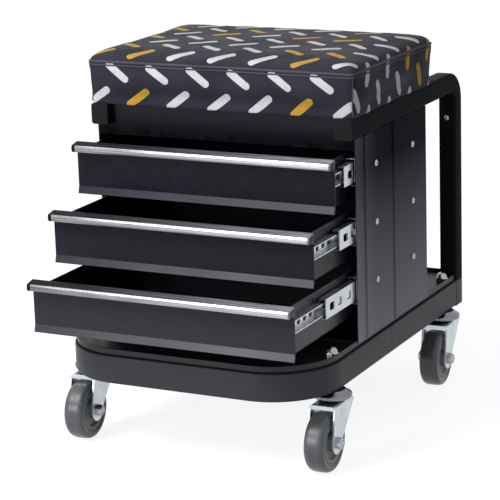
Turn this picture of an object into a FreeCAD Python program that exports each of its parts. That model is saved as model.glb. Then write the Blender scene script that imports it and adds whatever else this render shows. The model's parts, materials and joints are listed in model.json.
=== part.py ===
import FreeCAD, Part
import math
import os
import Sketcher

# Mechanic's roller seat with three drawers.
# +X is the sitter's right as seen from the drawers' side, +Y points to the back, +Z points up.
# The origin lies on the floor, in the middle of the seat as it stands with its drawers part open.

V = FreeCAD.Vector
doc = FreeCAD.newDocument("RollerSeat")

# Driving sizes, in millimetres and degrees

SIZES = [
    # whole seat
    ("overall_width", 335),
    ("frame_rear_reach", 329),
    ("rail_top", 391.5),
    ("mount_height", 90),
    ("fit_gap", 0.3),
    ("cut_over", 5),
    # tubes of the frame
    ("tube_width", 22),
    ("tube_gauge", 1.6),
    ("tube_corner", 3.5),
    ("rail_height", 25),
    ("rail_overhang", 11),
    ("hoop_bend_radius", 24),
    ("base_height", 35),
    ("base_front_reach", 132.5),
    ("base_corner_radius", 80),
    ("base_seam_setback", 93.5),
    ("plug_flange", 1.5),
    ("plug_length", 12),
    # sheet metal of tray and cabinet
    ("sheet_gauge", 1.2),
    ("tray_rim_height", 6.5),
    ("cabinet_depth", 211),
    ("rib_height", 1.4),
    ("rib_width", 11),
    ("rib_slope", 3),
    ("front_rib_setback", 22),
    ("rear_rib_setback", 105.5),
    ("header_drop", 13.5),
    ("header_flange", 22),
    ("sill_height", 4.3),
    ("sill_flange", 12),
    ("panel_flange", 15),
    ("panel_lift", 2.5),
    # drawers
    ("drawer_pitch", 69),
    ("top_front_height", 342),
    ("front_height", 50),
    ("front_width", 329),
    ("front_gauge", 1.5),
    ("flare_height", 9),
    ("flare_out", 2.4),
    ("box_depth", 200),
    ("box_rise", 7),
    ("box_gauge", 1),
    ("box_corner_radius", 3),
    ("closed_gap", 0.5),
    ("open_top", 51.5),
    ("open_middle", 110.5),
    ("open_bottom", 163),
    ("pull_reach", 13),
    ("pull_height", 12),
    ("pull_nose_height", 8),
    ("pull_nose_rise", 1.5),
    ("pull_wall", 2),
    # drawer slides
    ("slide_drop", 14),
    ("slide_height", 32),
    ("slide_depth", 12.7),
    ("slide_gauge", 1.2),
    ("slide_length", 200),
    ("slide_setback", 2),
    ("slide_lip", 1.3),
    ("carrier_length", 185),
    ("carrier_web_gap", 1.2),
    ("carrier_setback_top", 2),
    ("carrier_setback_middle", 16),
    ("carrier_setback_bottom", 2),
    ("inner_length", 192),
    ("inner_web_gap", 1.4),
    ("carrier_slot_height", 9),
    ("carrier_slot_length", 12),
    ("inner_slot_height", 6),
    ("inner_slot_length", 8),
    ("slide_slot_radius", 2.5),
    ("ball_diameter", 3),
    ("ball_gap", 0.03),
    ("ball_cage_gap", 0.05),
    ("ball_setback", 3.2),
    ("cage_gauge", 0.5),
    ("cage_length", 78),
    ("cage_end", 6),
    ("outer_cage_setback", 54),
    ("inner_cage_setback", 66),
    # screws
    ("slide_screw_setback", 57.5),
    ("slide_screw_spacing", 110),
    ("screw_shank", 4),
    ("screw_head", 7.6),
    ("screw_head_height", 2.4),
    ("hole_gap", 0.1),
    # seat
    ("cushion_width", 336),
    ("cushion_front_overhang", 12),
    ("cushion_rear_overhang", 14),
    ("cushion_height", 57),
    ("cushion_crown", 9),
    ("cushion_draw", 2.2),
    ("cushion_corner_radius", 9),
    ("cushion_side_bow", 1.6),
    ("cushion_edge_radius", 7),
    ("board_thickness", 9),
    ("board_margin", 7),
    ("seat_bolt_shank", 6),
    ("seat_bolt_head", 12),
    ("seat_bolt_head_height", 3.6),
    ("seat_bolt_bite", 8),
    ("seat_bolt_front_setback", 34),
    ("seat_bolt_rear_setback", 37),
    # casters
    ("wheel_diameter", 70),
    ("wheel_width", 24),
    ("tread_crown", 1.4),
    ("tread_shoulder", 5),
    ("tyre_inner_radius", 24),
    ("hub_bead_height", 1.5),
    ("hub_bead_width", 6),
    ("hub_boss_radius", 10),
    ("hub_recess_radius", 20),
    ("hub_recess_depth", 5),
    ("wheel_side_gap", 2),
    ("boss_side_gap", 0.3),
    ("axle_shank", 8),
    ("axle_running_gap", 0.05),
    ("axle_head_across", 13),
    ("axle_head_height", 5),
    ("axle_nut_height", 6.5),
    ("fork_gauge", 2.5),
    ("fork_trail", 26),
    ("fork_crown_drop", 12),
    ("fork_crown_radius", 22),
    ("fork_crown_reach", 31),
    ("fork_lip_height", 2),
    ("fork_foot_radius", 13),
    ("fork_bend_radius", 5),
    ("raceway_radius", 22.3),
    ("raceway_step_radius", 16),
    ("raceway_step_height", 4),
    ("raceway_rim_height", 5),
    ("raceway_gap", 0.4),
    ("kingpin_radius", 6),
    ("kingpin_head_radius", 8.5),
    ("kingpin_head_height", 2.5),
    ("kingpin_gap", 0.08),
    ("stem_diameter", 10),
    ("stem_front_setback", 78.8),
    ("stem_rear_setback", 45.7),
    ("stem_nut_across", 14),
    ("stem_nut_height", 7.5),
    ("stem_nut_dome", 6),
    ("stem_nut_turn", 30),
    ("swivel_angle_front_left", 3),
    ("swivel_angle_front_right", 1),
    ("swivel_angle_rear_left", 5),
    ("swivel_angle_rear_right", 4),
]

sheet = doc.addObject("Spreadsheet::Sheet", "Sizes")
for row, (alias, number) in enumerate(SIZES, start=1):
    sheet.set(f"A{row}", alias)
    sheet.set(f"B{row}", str(number))
    sheet.setAlias(f"B{row}", alias)

# Places and fits worked out from the driving sizes.
# The frame is as long as from the bottom drawer's pull to the hoops' rear faces.

PLACES = [
    ("half_width", "Sizes.overall_width / 2"),
    ("front_reach", "Sizes.open_bottom + Sizes.closed_gap + Sizes.front_gauge + Sizes.pull_reach"),
    ("cabinet_front", "(B2 - Sizes.frame_rear_reach) / 2"),
    ("cabinet_rear", "B3 + Sizes.cabinet_depth"),
    ("frame_rear", "B3 + Sizes.frame_rear_reach"),
    ("base_front", "B3 - Sizes.base_front_reach"),
    ("base_top", "Sizes.mount_height + Sizes.base_height"),
    ("rail_bottom", "Sizes.rail_top - Sizes.rail_height"),
    ("tube_inner", "B1 - Sizes.tube_width"),
    ("tube_middle", "B1 - Sizes.tube_width / 2"),
    ("panel_outer", "B1 - Sizes.rib_height"),
    ("panel_inner", "B11 - Sizes.sheet_gauge"),
    ("box_half", "B12 - Sizes.slide_depth"),
    ("tray_floor", "B7 + Sizes.sheet_gauge"),
    ("rim_inset", "B1 - B12"),
    ("rail_front", "B3 - Sizes.rail_overhang"),
    ("base_seam", "B3 + Sizes.base_seam_setback"),
    ("post_front", "B5 - Sizes.rail_height"),
    ("cushion_front", "B3 - Sizes.cushion_front_overhang"),
    ("cushion_bottom", "Sizes.rail_top + Sizes.fit_gap"),
    ("stem_front", "B6 + Sizes.stem_front_setback"),
    ("stem_rear", "B5 - Sizes.stem_rear_setback"),
    ("wheel_radius", "Sizes.wheel_diameter / 2"),
    ("fork_half", "Sizes.wheel_width / 2 + Sizes.wheel_side_gap"),
    ("crown_top", "Sizes.mount_height - Sizes.fork_crown_drop"),
    ("crown_bottom", "B25 - Sizes.fork_gauge"),
    ("ball_room", "Sizes.ball_diameter + 2 * Sizes.ball_gap"),
    ("outer_inside", "Sizes.slide_height - 2 * Sizes.slide_gauge"),
    ("carrier_height", "B28 - 2 * B27"),
    ("carrier_inside", "B29 - 2 * Sizes.slide_gauge"),
    ("inner_height", "B30 - 2 * B27"),
    ("carrier_face", "B12 - Sizes.slide_gauge - Sizes.carrier_web_gap"),
    ("channel_tip", "B13 + Sizes.slide_gauge + 2 * Sizes.fit_gap"),
    ("cushion_rear", "B4 + Sizes.cushion_rear_overhang"),
    ("cushion_depth", "B34 - B19"),
]

places = doc.addObject("Spreadsheet::Sheet", "Places")
for row, (alias, formula) in enumerate(PLACES, start=1):
    places.set(f"A{row}", alias)
    places.set(f"B{row}", "=" + formula)
    places.setAlias(f"B{row}", alias)
doc.recompute()


# Closeness of two equal places, and shares of the sizes above

TOUCH = 1e-4
HEAD_ROUND_SHARE = 0.76
CROWN_SHARES = [(0, 0), (0.25, 0.78), (0.5, 1), (0.75, 0.84), (1, 0.3)]
CROWN_FLAT_SHARE = 0.25
CROWN_RISE_SHARE = 1 - CROWN_FLAT_SHARE
CORNER_INSET_SHARE = 1 - math.sqrt(0.5)
TREAD_EDGE_SHARE = 0.6
SHOULDER_ROUND_SHARE = 0.12
SHOULDER_DROP_SHARE = 0.45
CAGE_BALL_SHARES = [0, 0.5, 1]
CARRIER_SLOT_SHARES = [0.09, 0.2, 0.34, 0.6, 0.85]
INNER_SLOT_SHARES = [0.07, 0.15, 0.23, 0.31, 0.5, 0.7]

# Travel of each slide piece as a share of its drawer's travel

CARRIER_TRAVEL_SHARE = 0.5
OUTER_CAGE_TRAVEL_SHARE = 0.25
INNER_CAGE_TRAVEL_SHARE = 0.75

ROWS = ["top", "middle", "bottom"]


# Helpers for sketches and features

def value(obj, expression):
    """Numeric value of an expression on the sheets."""
    result = obj.evalExpression(expression)
    return float(getattr(result, "Value", result))


def new_body(name):
    """Empty body with its label."""
    body = doc.addObject("PartDesign::Body", name)
    body.Label = name
    return body


def new_sketch(body, name, role, height=None):
    """Sketch on one of the body's origin planes, lifted along +X, +Y or +Z to a height."""
    sketch = body.newObject("Sketcher::SketchObject", name)
    plane = next(item for item in body.Origin.OriginFeatures if item.Role == role)
    sketch.AttachmentSupport = (plane, [""])
    sketch.MapMode = "FlatFace"
    if height is not None:
        lift = f"-({height})" if role == "XZ_Plane" else height
        sketch.setExpression("AttachmentOffset.Base.z", lift)
    return sketch


def bind(sketch, kind, geometry, point, expression):
    """Dimension from the sketch's origin to a point, bound to an expression."""
    number = value(sketch, expression)
    index = sketch.addConstraint(Sketcher.Constraint(kind, -1, 1, geometry, point, number))
    sketch.setExpression(f"Constraints[{index}]", expression)


def bind_radius(sketch, geometry, expression):
    """Radius bound to an expression."""
    number = value(sketch, expression)
    index = sketch.addConstraint(Sketcher.Constraint("Radius", geometry, number))
    sketch.setExpression(f"Constraints[{index}]", expression)


def polygon(sketch, points):
    """Closed outline of straight edges through points given as pairs of expressions."""
    base = len(sketch.Geometry)
    count = len(points)
    spots = [V(value(sketch, across), value(sketch, up), 0) for across, up in points]
    for i in range(count):
        sketch.addGeometry(Part.LineSegment(spots[i], spots[(i + 1) % count]), False)
    for i in range(count):
        following = base + (i + 1) % count
        sketch.addConstraint(Sketcher.Constraint("Coincident", base + i, 2, following, 1))
    for i, (across, up) in enumerate(points):
        bind(sketch, "DistanceX", base + i, 1, across)
        bind(sketch, "DistanceY", base + i, 1, up)


def rectangle(sketch, left, right, low, high):
    """Rectangle between four expressions."""
    polygon(sketch, [(left, low), (right, low), (right, high), (left, high)])


def rounded_rectangle(sketch, left, right, low, high, radius):
    """Rectangle with four equal round corners."""
    base = len(sketch.Geometry)
    x0, x1, y0, y1, r = [value(sketch, item) for item in (left, right, low, high, radius)]
    ends = [(x0 + r, y0), (x1 - r, y0), (x1, y0 + r), (x1, y1 - r),
            (x1 - r, y1), (x0 + r, y1), (x0, y1 - r), (x0, y0 + r)]
    centres = [(x1 - r, y0 + r), (x1 - r, y1 - r), (x0 + r, y1 - r), (x0 + r, y0 + r)]
    for side in range(4):
        start, stop = ends[2 * side], ends[2 * side + 1]
        sketch.addGeometry(Part.LineSegment(V(*start, 0), V(*stop, 0)), False)
        turn = math.pi / 2 * (side - 1)
        circle = Part.Circle(V(*centres[side], 0), V(0, 0, 1), r)
        sketch.addGeometry(Part.ArcOfCircle(circle, turn, turn + math.pi / 2), False)
    for side in range(4):
        line = base + 2 * side
        following = base + (2 * side + 2) % 8
        sketch.addConstraint(Sketcher.Constraint("Tangent", line, 2, line + 1, 1))
        sketch.addConstraint(Sketcher.Constraint("Tangent", line + 1, 2, following, 1))
        kind = "Horizontal" if side % 2 == 0 else "Vertical"
        sketch.addConstraint(Sketcher.Constraint(kind, line))
        if side:
            sketch.addConstraint(Sketcher.Constraint("Equal", base + 1, line + 1))
    for side, edge in enumerate((low, right, high, left)):
        bind(sketch, "DistanceX" if side % 2 else "DistanceY", base + 2 * side, 1, edge)
    bind_radius(sketch, base + 1, radius)


def circle(sketch, across, up, radius):
    """Circle at a point given by expressions."""
    base = len(sketch.Geometry)
    centre = V(value(sketch, across), value(sketch, up), 0)
    sketch.addGeometry(Part.Circle(centre, V(0, 0, 1), value(sketch, radius)), False)
    bind(sketch, "DistanceX", base, 3, across)
    bind(sketch, "DistanceY", base, 3, up)
    bind_radius(sketch, base, radius)


def arc_through(sketch, points, bulges):
    """Closed outline whose edge i runs from point i to the next, as an arc where bulges[i] is given.

    A bulge is the pair of expressions of a point that the arc passes through.
    """
    base = len(sketch.Geometry)
    count = len(points)
    spots = [V(value(sketch, across), value(sketch, up), 0) for across, up in points]
    swapped = []
    for i in range(count):
        start, stop = spots[i], spots[(i + 1) % count]
        turned = False
        if bulges[i] is None:
            edge = Part.LineSegment(start, stop)
        else:
            across, up = bulges[i]
            middle = V(value(sketch, across), value(sketch, up), 0)
            turned = (middle - start).cross(stop - middle).z < 0
            edge = Part.Arc(stop, middle, start) if turned else Part.Arc(start, middle, stop)
        sketch.addGeometry(edge, False)
        swapped.append(turned)
    for i in range(count):
        j = (i + 1) % count
        end = 1 if swapped[i] else 2
        start = 2 if swapped[j] else 1
        sketch.addConstraint(Sketcher.Constraint("Coincident", base + i, end, base + j, start))
    for i, (across, up) in enumerate(points):
        start = 2 if swapped[i] else 1
        bind(sketch, "DistanceX", base + i, start, across)
        bind(sketch, "DistanceY", base + i, start, up)
    for i in range(count):
        if bulges[i] is not None:
            across, up = bulges[i]
            spot = len(sketch.Geometry)
            middle = V(value(sketch, across), value(sketch, up), 0)
            sketch.addGeometry(Part.Point(middle), True)
            sketch.addConstraint(Sketcher.Constraint("PointOnObject", spot, 1, base + i))
            bind(sketch, "DistanceX", spot, 1, across)
            bind(sketch, "DistanceY", spot, 1, up)


def pad(body, sketch, length, backwards=False):
    """Pad along the sketch's normal, or against it."""
    feature = body.newObject("PartDesign::Pad", sketch.Name + "Pad")
    feature.Profile = sketch
    feature.setExpression("Length", length)
    feature.Reversed = backwards
    sketch.Visibility = False
    return feature


def pocket(body, sketch, depth, backwards=False):
    """Pocket against the sketch's normal, or along it, that has to take material away."""
    doc.recompute()
    before = body.Shape.Volume
    feature = body.newObject("PartDesign::Pocket", sketch.Name + "Pocket")
    feature.Profile = sketch
    feature.setExpression("Length", depth)
    feature.Reversed = backwards
    doc.recompute()
    if not body.Shape.Volume < before:
        raise RuntimeError(f"{feature.Name} cuts nothing")
    return feature


def revolve(body, sketch, axis):
    """Full turn of a sketch about its own horizontal or vertical axis."""
    feature = body.newObject("PartDesign::Revolution", sketch.Name + "Turned")
    feature.Profile = sketch
    feature.ReferenceAxis = (sketch, [axis])
    feature.Angle = 360
    doc.recompute()
    return feature


def fillet(body, radius, chosen):
    """Fillet of the edges that a test picks out of the body's present shape."""
    doc.recompute()
    tip = body.Tip
    names = [f"Edge{i}" for i, edge in enumerate(tip.Shape.Edges, start=1) if chosen(edge)]
    if not names:
        raise RuntimeError(f"{body.Name} has no edge to round")
    feature = body.newObject("PartDesign::Fillet", body.Name + "Round")
    feature.Base = (tip, names)
    feature.setExpression("Radius", radius)
    doc.recompute()
    return feature


def mirrored(name, source):
    """Copy of a piece on the other side of the middle plane."""
    copy = doc.addObject("Part::Mirroring", name)
    copy.Source = source
    copy.Normal = V(1, 0, 0)
    copy.Label = name
    return copy


def group(name, pieces):
    """One node of several separate solids."""
    node = doc.addObject("Part::Compound", name)
    node.Links = pieces
    node.Label = name
    return node


def placed(name, source, across=None, along=None, up=None, angle=None):
    """A copy of a piece, moved and turned about +Z by expressions."""
    link = doc.addObject("App::Link", name)
    link.LinkedObject = source
    for axis, expression in (("x", across), ("y", along), ("z", up)):
        if expression is not None:
            link.setExpression(f"Placement.Base.{axis}", expression)
    if angle is not None:
        link.setExpression("Placement.Rotation.Angle", angle)
    return link


def near(first, second):
    """Whether two lengths agree."""
    return abs(first - second) < TOUCH


NODES = []


def node(piece):
    """Lists a finished piece as a node of the model."""
    NODES.append(piece)
    return piece


# Frame: hoops, base tubes and end plugs

def tube_profile(sketch, across, up, height):
    """Rounded rectangular tube section about a point."""
    half = "Sizes.tube_width / 2"
    tall = f"({height}) / 2"
    wall = "Sizes.tube_gauge"
    rounded_rectangle(sketch, f"{across} - {half}", f"{across} + {half}",
                      f"{up} - {tall}", f"{up} + {tall}", "Sizes.tube_corner")
    rectangle(sketch, f"{across} - {half} + {wall}", f"{across} + {half} - {wall}",
              f"{up} - {tall} + {wall}", f"{up} + {tall} - {wall}")


def make_hoop():
    """Seat rail that bends down at the back and stands on the base as a post."""
    body = new_body("hoop_tube_right")
    middle = "(Sizes.rail_top - Sizes.rail_height / 2)"
    post = "(Places.frame_rear - Sizes.rail_height / 2)"
    bend = "Sizes.hoop_bend_radius"
    profile = new_sketch(body, "HoopSection", "XZ_Plane", "Places.rail_front")
    tube_profile(profile, "Places.tube_middle", middle, "Sizes.rail_height")
    path = new_sketch(body, "HoopPath", "YZ_Plane", "Places.tube_middle")
    y0 = value(path, "Places.rail_front")
    y1 = value(path, f"{post} - {bend}")
    z1 = value(path, middle)
    r = value(path, bend)
    z0 = value(path, "Sizes.mount_height")
    path.addGeometry(Part.LineSegment(V(y0, z1, 0), V(y1, z1, 0)), False)
    turn = Part.Circle(V(y1, z1 - r, 0), V(0, 0, 1), r)
    path.addGeometry(Part.ArcOfCircle(turn, 0, math.pi / 2), False)
    path.addGeometry(Part.LineSegment(V(y1 + r, z1 - r, 0), V(y1 + r, z0, 0)), False)
    path.addConstraint(Sketcher.Constraint("Tangent", 0, 2, 1, 2))
    path.addConstraint(Sketcher.Constraint("Tangent", 1, 1, 2, 1))
    path.addConstraint(Sketcher.Constraint("Horizontal", 0))
    path.addConstraint(Sketcher.Constraint("Vertical", 2))
    bind(path, "DistanceX", 0, 1, "Places.rail_front")
    bind(path, "DistanceY", 0, 1, middle)
    bind(path, "DistanceX", 2, 2, post)
    bind(path, "DistanceY", 2, 2, "Sizes.mount_height")
    bind_radius(path, 1, bend)
    pipe = body.newObject("PartDesign::AdditivePipe", "HoopTube")
    pipe.Profile = profile
    pipe.Spine = (path, [])
    doc.recompute()
    holes = new_sketch(body, "HoopBoltHoles", "XY_Plane", "Sizes.rail_top + Sizes.cut_over")
    for along in seat_bolt_places():
        circle(holes, "Places.tube_middle", along, "Sizes.seat_bolt_shank / 2 + Sizes.hole_gap")
    pocket(body, holes, "Sizes.rail_height + 2 * Sizes.cut_over")
    node(body)
    node(mirrored("hoop_tube_left", body))


def make_base():
    """Bent front tube, two side tubes and a rear tube, all of one section."""
    middle = "(Sizes.mount_height + Sizes.base_height / 2)"
    body = new_body("base_front_tube")
    profile = new_sketch(body, "FrontTubeSection", "XZ_Plane", "Places.base_seam")
    tube_profile(profile, "Places.tube_middle", middle, "Sizes.base_height")
    path = new_sketch(body, "FrontTubePath", "XY_Plane", middle)
    bend = "(Sizes.base_corner_radius - Sizes.tube_width / 2)"
    front = "(Places.base_front + Sizes.tube_width / 2)"
    x = value(path, "Places.tube_middle")
    y0 = value(path, "Places.base_seam")
    y1 = value(path, front)
    r = value(path, bend)
    path.addGeometry(Part.LineSegment(V(x, y0, 0), V(x, y1 + r, 0)), False)
    right = Part.Circle(V(x - r, y1 + r, 0), V(0, 0, 1), r)
    path.addGeometry(Part.ArcOfCircle(right, -math.pi / 2, 0), False)
    path.addGeometry(Part.LineSegment(V(x - r, y1, 0), V(r - x, y1, 0)), False)
    left = Part.Circle(V(r - x, y1 + r, 0), V(0, 0, 1), r)
    path.addGeometry(Part.ArcOfCircle(left, math.pi, 3 * math.pi / 2), False)
    path.addGeometry(Part.LineSegment(V(-x, y1 + r, 0), V(-x, y0, 0)), False)
    path.addConstraint(Sketcher.Constraint("Tangent", 0, 2, 1, 2))
    path.addConstraint(Sketcher.Constraint("Tangent", 1, 1, 2, 1))
    path.addConstraint(Sketcher.Constraint("Tangent", 2, 2, 3, 2))
    path.addConstraint(Sketcher.Constraint("Tangent", 3, 1, 4, 1))
    path.addConstraint(Sketcher.Constraint("Vertical", 0))
    path.addConstraint(Sketcher.Constraint("Horizontal", 2))
    path.addConstraint(Sketcher.Constraint("Vertical", 4))
    bind(path, "DistanceX", 0, 1, "Places.tube_middle")
    bind(path, "DistanceY", 0, 1, "Places.base_seam")
    bind(path, "DistanceY", 2, 1, front)
    bind(path, "DistanceX", 4, 2, "-Places.tube_middle")
    bind(path, "DistanceY", 4, 2, "Places.base_seam")
    bind_radius(path, 1, bend)
    bind_radius(path, 3, bend)
    pipe = body.newObject("PartDesign::AdditivePipe", "FrontTube")
    pipe.Profile = profile
    pipe.Spine = (path, [])
    doc.recompute()
    holes = new_sketch(body, "FrontStemHoles", "XY_Plane", "Places.base_top + Sizes.cut_over")
    for side in ("", "-"):
        circle(holes, f"{side}Places.tube_middle", "Places.stem_front",
               "Sizes.stem_diameter / 2 + Sizes.hole_gap")
    pocket(body, holes, "Sizes.base_height + 2 * Sizes.cut_over")
    node(body)

    side_tube = new_body("base_side_tube_right")
    profile = new_sketch(side_tube, "SideTubeSection", "XZ_Plane", "Places.post_front")
    tube_profile(profile, "Places.tube_middle", middle, "Sizes.base_height")
    pad(side_tube, profile, "Places.post_front - Places.base_seam")
    holes = new_sketch(side_tube, "RearStemHole", "XY_Plane", "Places.base_top + Sizes.cut_over")
    circle(holes, "Places.tube_middle", "Places.stem_rear", "Sizes.stem_diameter / 2 + Sizes.hole_gap")
    pocket(side_tube, holes, "Sizes.base_height + 2 * Sizes.cut_over")
    node(side_tube)
    node(mirrored("base_side_tube_left", side_tube))

    rear = new_body("base_rear_tube")
    profile = new_sketch(rear, "RearTubeSection", "YZ_Plane", "-Places.tube_inner")
    tube_profile(profile, "(Places.frame_rear - Sizes.tube_width / 2)", middle, "Sizes.base_height")
    pad(rear, profile, "2 * Places.tube_inner")
    node(rear)


def make_plugs():
    """Pressed-in caps that close the rails' front ends."""
    body = new_body("RailPlugRight")
    middle = "(Sizes.rail_top - Sizes.rail_height / 2)"
    half = "Sizes.tube_width / 2"
    tall = "Sizes.rail_height / 2"
    inside = "(Sizes.tube_gauge + Sizes.fit_gap)"
    cap = new_sketch(body, "PlugCap", "XZ_Plane", "Places.rail_front")
    rounded_rectangle(cap, f"Places.tube_middle - {half}", f"Places.tube_middle + {half}",
                      f"{middle} - {tall}", f"{middle} + {tall}", "Sizes.tube_corner")
    pad(body, cap, "Sizes.plug_flange")
    core = new_sketch(body, "PlugCore", "XZ_Plane", "Places.rail_front")
    rectangle(core, f"Places.tube_middle - {half} + {inside}", f"Places.tube_middle + {half} - {inside}",
              f"{middle} - {tall} + {inside}", f"{middle} + {tall} - {inside}")
    pad(body, core, "Sizes.plug_length", backwards=True)
    fillet(body, "Sizes.plug_flange / 2", lambda edge: all(
        near(spot.Point.y, value(body, "Places.rail_front - Sizes.plug_flange")) for spot in edge.Vertexes))
    node(group("rail_end_plugs", [body, mirrored("RailPlugLeft", body)]))


# Base tray and cabinet sheets

def tray_outline(sketch, inset, rear):
    """Straight back and sides with two round front corners, inset from the base's outer faces."""
    half = f"(Places.half_width - {inset})"
    front = f"(Places.base_front + {inset})"
    radius = f"(Sizes.base_corner_radius - {inset})"
    x = value(sketch, half)
    y0 = value(sketch, front)
    y1 = value(sketch, rear)
    r = value(sketch, radius)
    base = len(sketch.Geometry)
    sketch.addGeometry(Part.LineSegment(V(r - x, y0, 0), V(x - r, y0, 0)), False)
    right = Part.Circle(V(x - r, y0 + r, 0), V(0, 0, 1), r)
    sketch.addGeometry(Part.ArcOfCircle(right, -math.pi / 2, 0), False)
    sketch.addGeometry(Part.LineSegment(V(x, y0 + r, 0), V(x, y1, 0)), False)
    sketch.addGeometry(Part.LineSegment(V(x, y1, 0), V(-x, y1, 0)), False)
    sketch.addGeometry(Part.LineSegment(V(-x, y1, 0), V(-x, y0 + r, 0)), False)
    left = Part.Circle(V(r - x, y0 + r, 0), V(0, 0, 1), r)
    sketch.addGeometry(Part.ArcOfCircle(left, math.pi, 3 * math.pi / 2), False)
    front_edge, right_bend, right_edge, rear_edge, left_edge, left_bend = range(base, len(sketch.Geometry))
    for first, second, kind in (
            (front_edge, right_bend, "Tangent"), (right_bend, right_edge, "Tangent"),
            (right_edge, rear_edge, "Coincident"), (rear_edge, left_edge, "Coincident"),
            (left_edge, left_bend, "Tangent"), (left_bend, front_edge, "Tangent")):
        sketch.addConstraint(Sketcher.Constraint(kind, first, 2, second, 1))
    for line in (front_edge, rear_edge):
        sketch.addConstraint(Sketcher.Constraint("Horizontal", line))
    for line in (right_edge, left_edge):
        sketch.addConstraint(Sketcher.Constraint("Vertical", line))
    sketch.addConstraint(Sketcher.Constraint("Equal", right_bend, left_bend))
    bind(sketch, "DistanceY", front_edge, 1, front)
    bind(sketch, "DistanceX", right_edge, 1, half)
    bind(sketch, "DistanceY", rear_edge, 1, rear)
    bind(sketch, "DistanceX", left_edge, 1, f"-{half}")
    bind_radius(sketch, right_bend, radius)


def make_tray():
    """Pressed tray with an upturned rim, which lies on the base tubes."""
    body = new_body("base_tray")
    inner = "(Places.rim_inset + Sizes.sheet_gauge)"
    outline = new_sketch(body, "TrayOutline", "XY_Plane", "Places.base_top")
    tray_outline(outline, "Places.rim_inset", "Places.frame_rear - Places.rim_inset")
    pad(body, outline, "Sizes.tray_rim_height")
    hollow = new_sketch(body, "TrayHollow", "XY_Plane", "Places.tray_floor")
    tray_outline(hollow, inner, f"Places.frame_rear - {inner}")
    pocket(body, hollow, "Sizes.tray_rim_height", backwards=True)
    notches = new_sketch(body, "TrayPostNotches", "XY_Plane", "Places.base_top - Sizes.cut_over")
    reach = "Sizes.cut_over"
    for left, right in (("Places.tube_inner - Sizes.fit_gap", f"Places.half_width + {reach}"),
                        (f"-Places.half_width - {reach}", "Sizes.fit_gap - Places.tube_inner")):
        rectangle(notches, left, right, "Places.post_front - Sizes.fit_gap", f"Places.frame_rear + {reach}")
    pocket(body, notches, "Sizes.tray_rim_height + 2 * Sizes.cut_over", backwards=True)
    holes = new_sketch(body, "TrayStemHoles", "XY_Plane", "Places.base_top - Sizes.cut_over")
    for side in ("", "-"):
        for along in ("Places.stem_front", "Places.stem_rear"):
            circle(holes, f"{side}Places.tube_middle", along, "Sizes.stem_diameter / 2 + Sizes.hole_gap")
    pocket(body, holes, "Sizes.sheet_gauge + 2 * Sizes.cut_over", backwards=True)
    node(body)


def make_side_panel():
    """Cabinet side: one sheet with two upright ribs pressed outwards and the slides' screw holes."""
    body = new_body("side_panel_right")
    outer, inner = "Places.panel_outer", "Places.panel_inner"
    points_out = [(outer, "Places.cabinet_front")]
    points_in = [(inner, "Places.cabinet_front")]
    for setback in ("Sizes.front_rib_setback", "Sizes.rear_rib_setback"):
        start = f"Places.cabinet_front + {setback}"
        for step, lift in (("0", "0"), ("Sizes.rib_slope", "Sizes.rib_height"),
                           ("(Sizes.rib_width - Sizes.rib_slope)", "Sizes.rib_height"),
                           ("Sizes.rib_width", "0")):
            points_out.append((f"{outer} + {lift}", f"{start} + {step}"))
            points_in.append((f"{inner} + {lift}", f"{start} + {step}"))
    points_out.append((outer, "Places.cabinet_rear"))
    points_in.append((inner, "Places.cabinet_rear"))
    section = new_sketch(body, "PanelSection", "XY_Plane", "Places.base_top + Sizes.panel_lift")
    polygon(section, points_out + points_in[::-1])
    pad(body, section, "Places.rail_bottom - Places.base_top - Sizes.panel_lift")
    flange = new_sketch(body, "PanelTopFlange", "XY_Plane", "Places.rail_bottom - Sizes.sheet_gauge")
    fold = "Sizes.sheet_gauge + Sizes.fit_gap"
    rectangle(flange, f"{inner} - Sizes.panel_flange", inner, f"Places.cabinet_front + {fold}",
              f"Places.cabinet_rear - Sizes.sheet_gauge - {fold}")
    pad(body, flange, "Sizes.sheet_gauge")
    bolt_holes = new_sketch(body, "PanelBoltHoles", "XY_Plane", "Places.rail_bottom + Sizes.cut_over")
    for along in seat_bolt_places():
        circle(bolt_holes, "Places.tube_middle", along, "Sizes.seat_bolt_shank / 2 + Sizes.hole_gap")
    pocket(body, bolt_holes, "Sizes.sheet_gauge + 2 * Sizes.cut_over")
    edge = "(Places.base_top + Sizes.tray_rim_height + Sizes.fit_gap)"
    flange = new_sketch(body, "PanelRearFlange", "XY_Plane", edge)
    rectangle(flange, f"{inner} - Sizes.panel_flange", inner,
              "Places.cabinet_rear - Sizes.sheet_gauge", "Places.cabinet_rear")
    pad(body, flange, f"Places.rail_bottom - {edge}")
    holes = new_sketch(body, "PanelScrewHoles", "YZ_Plane", "Places.half_width + Sizes.cut_over")
    for along, up in screw_spots():
        circle(holes, along, up, "Sizes.screw_shank / 2 + Sizes.hole_gap")
    pocket(body, holes, "2 * Sizes.cut_over + Places.rim_inset")
    node(body)
    node(mirrored("side_panel_left", body))


def screw_spots():
    """Places of one side's slide screws: two on the centre line of each slide."""
    spots = []
    for row in range(len(ROWS)):
        for step in ("0", "Sizes.slide_screw_spacing"):
            along = f"Places.cabinet_front + Sizes.slide_screw_setback + {step}"
            spots.append((along, slide_centre(row)))
    return spots


def seat_bolt_places():
    """Places of one side's two seat bolts along the rail."""
    return ["Places.cabinet_front + Sizes.seat_bolt_front_setback",
            "Places.cabinet_rear - Sizes.seat_bolt_rear_setback"]


def front_top(row):
    """Height of a drawer front's top edge, counted from the top drawer."""
    return f"(Sizes.top_front_height - {row} * Sizes.drawer_pitch)"


def slide_centre(row):
    """Height of a drawer's slides."""
    return f"({front_top(row)} - Sizes.slide_drop)"


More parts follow.
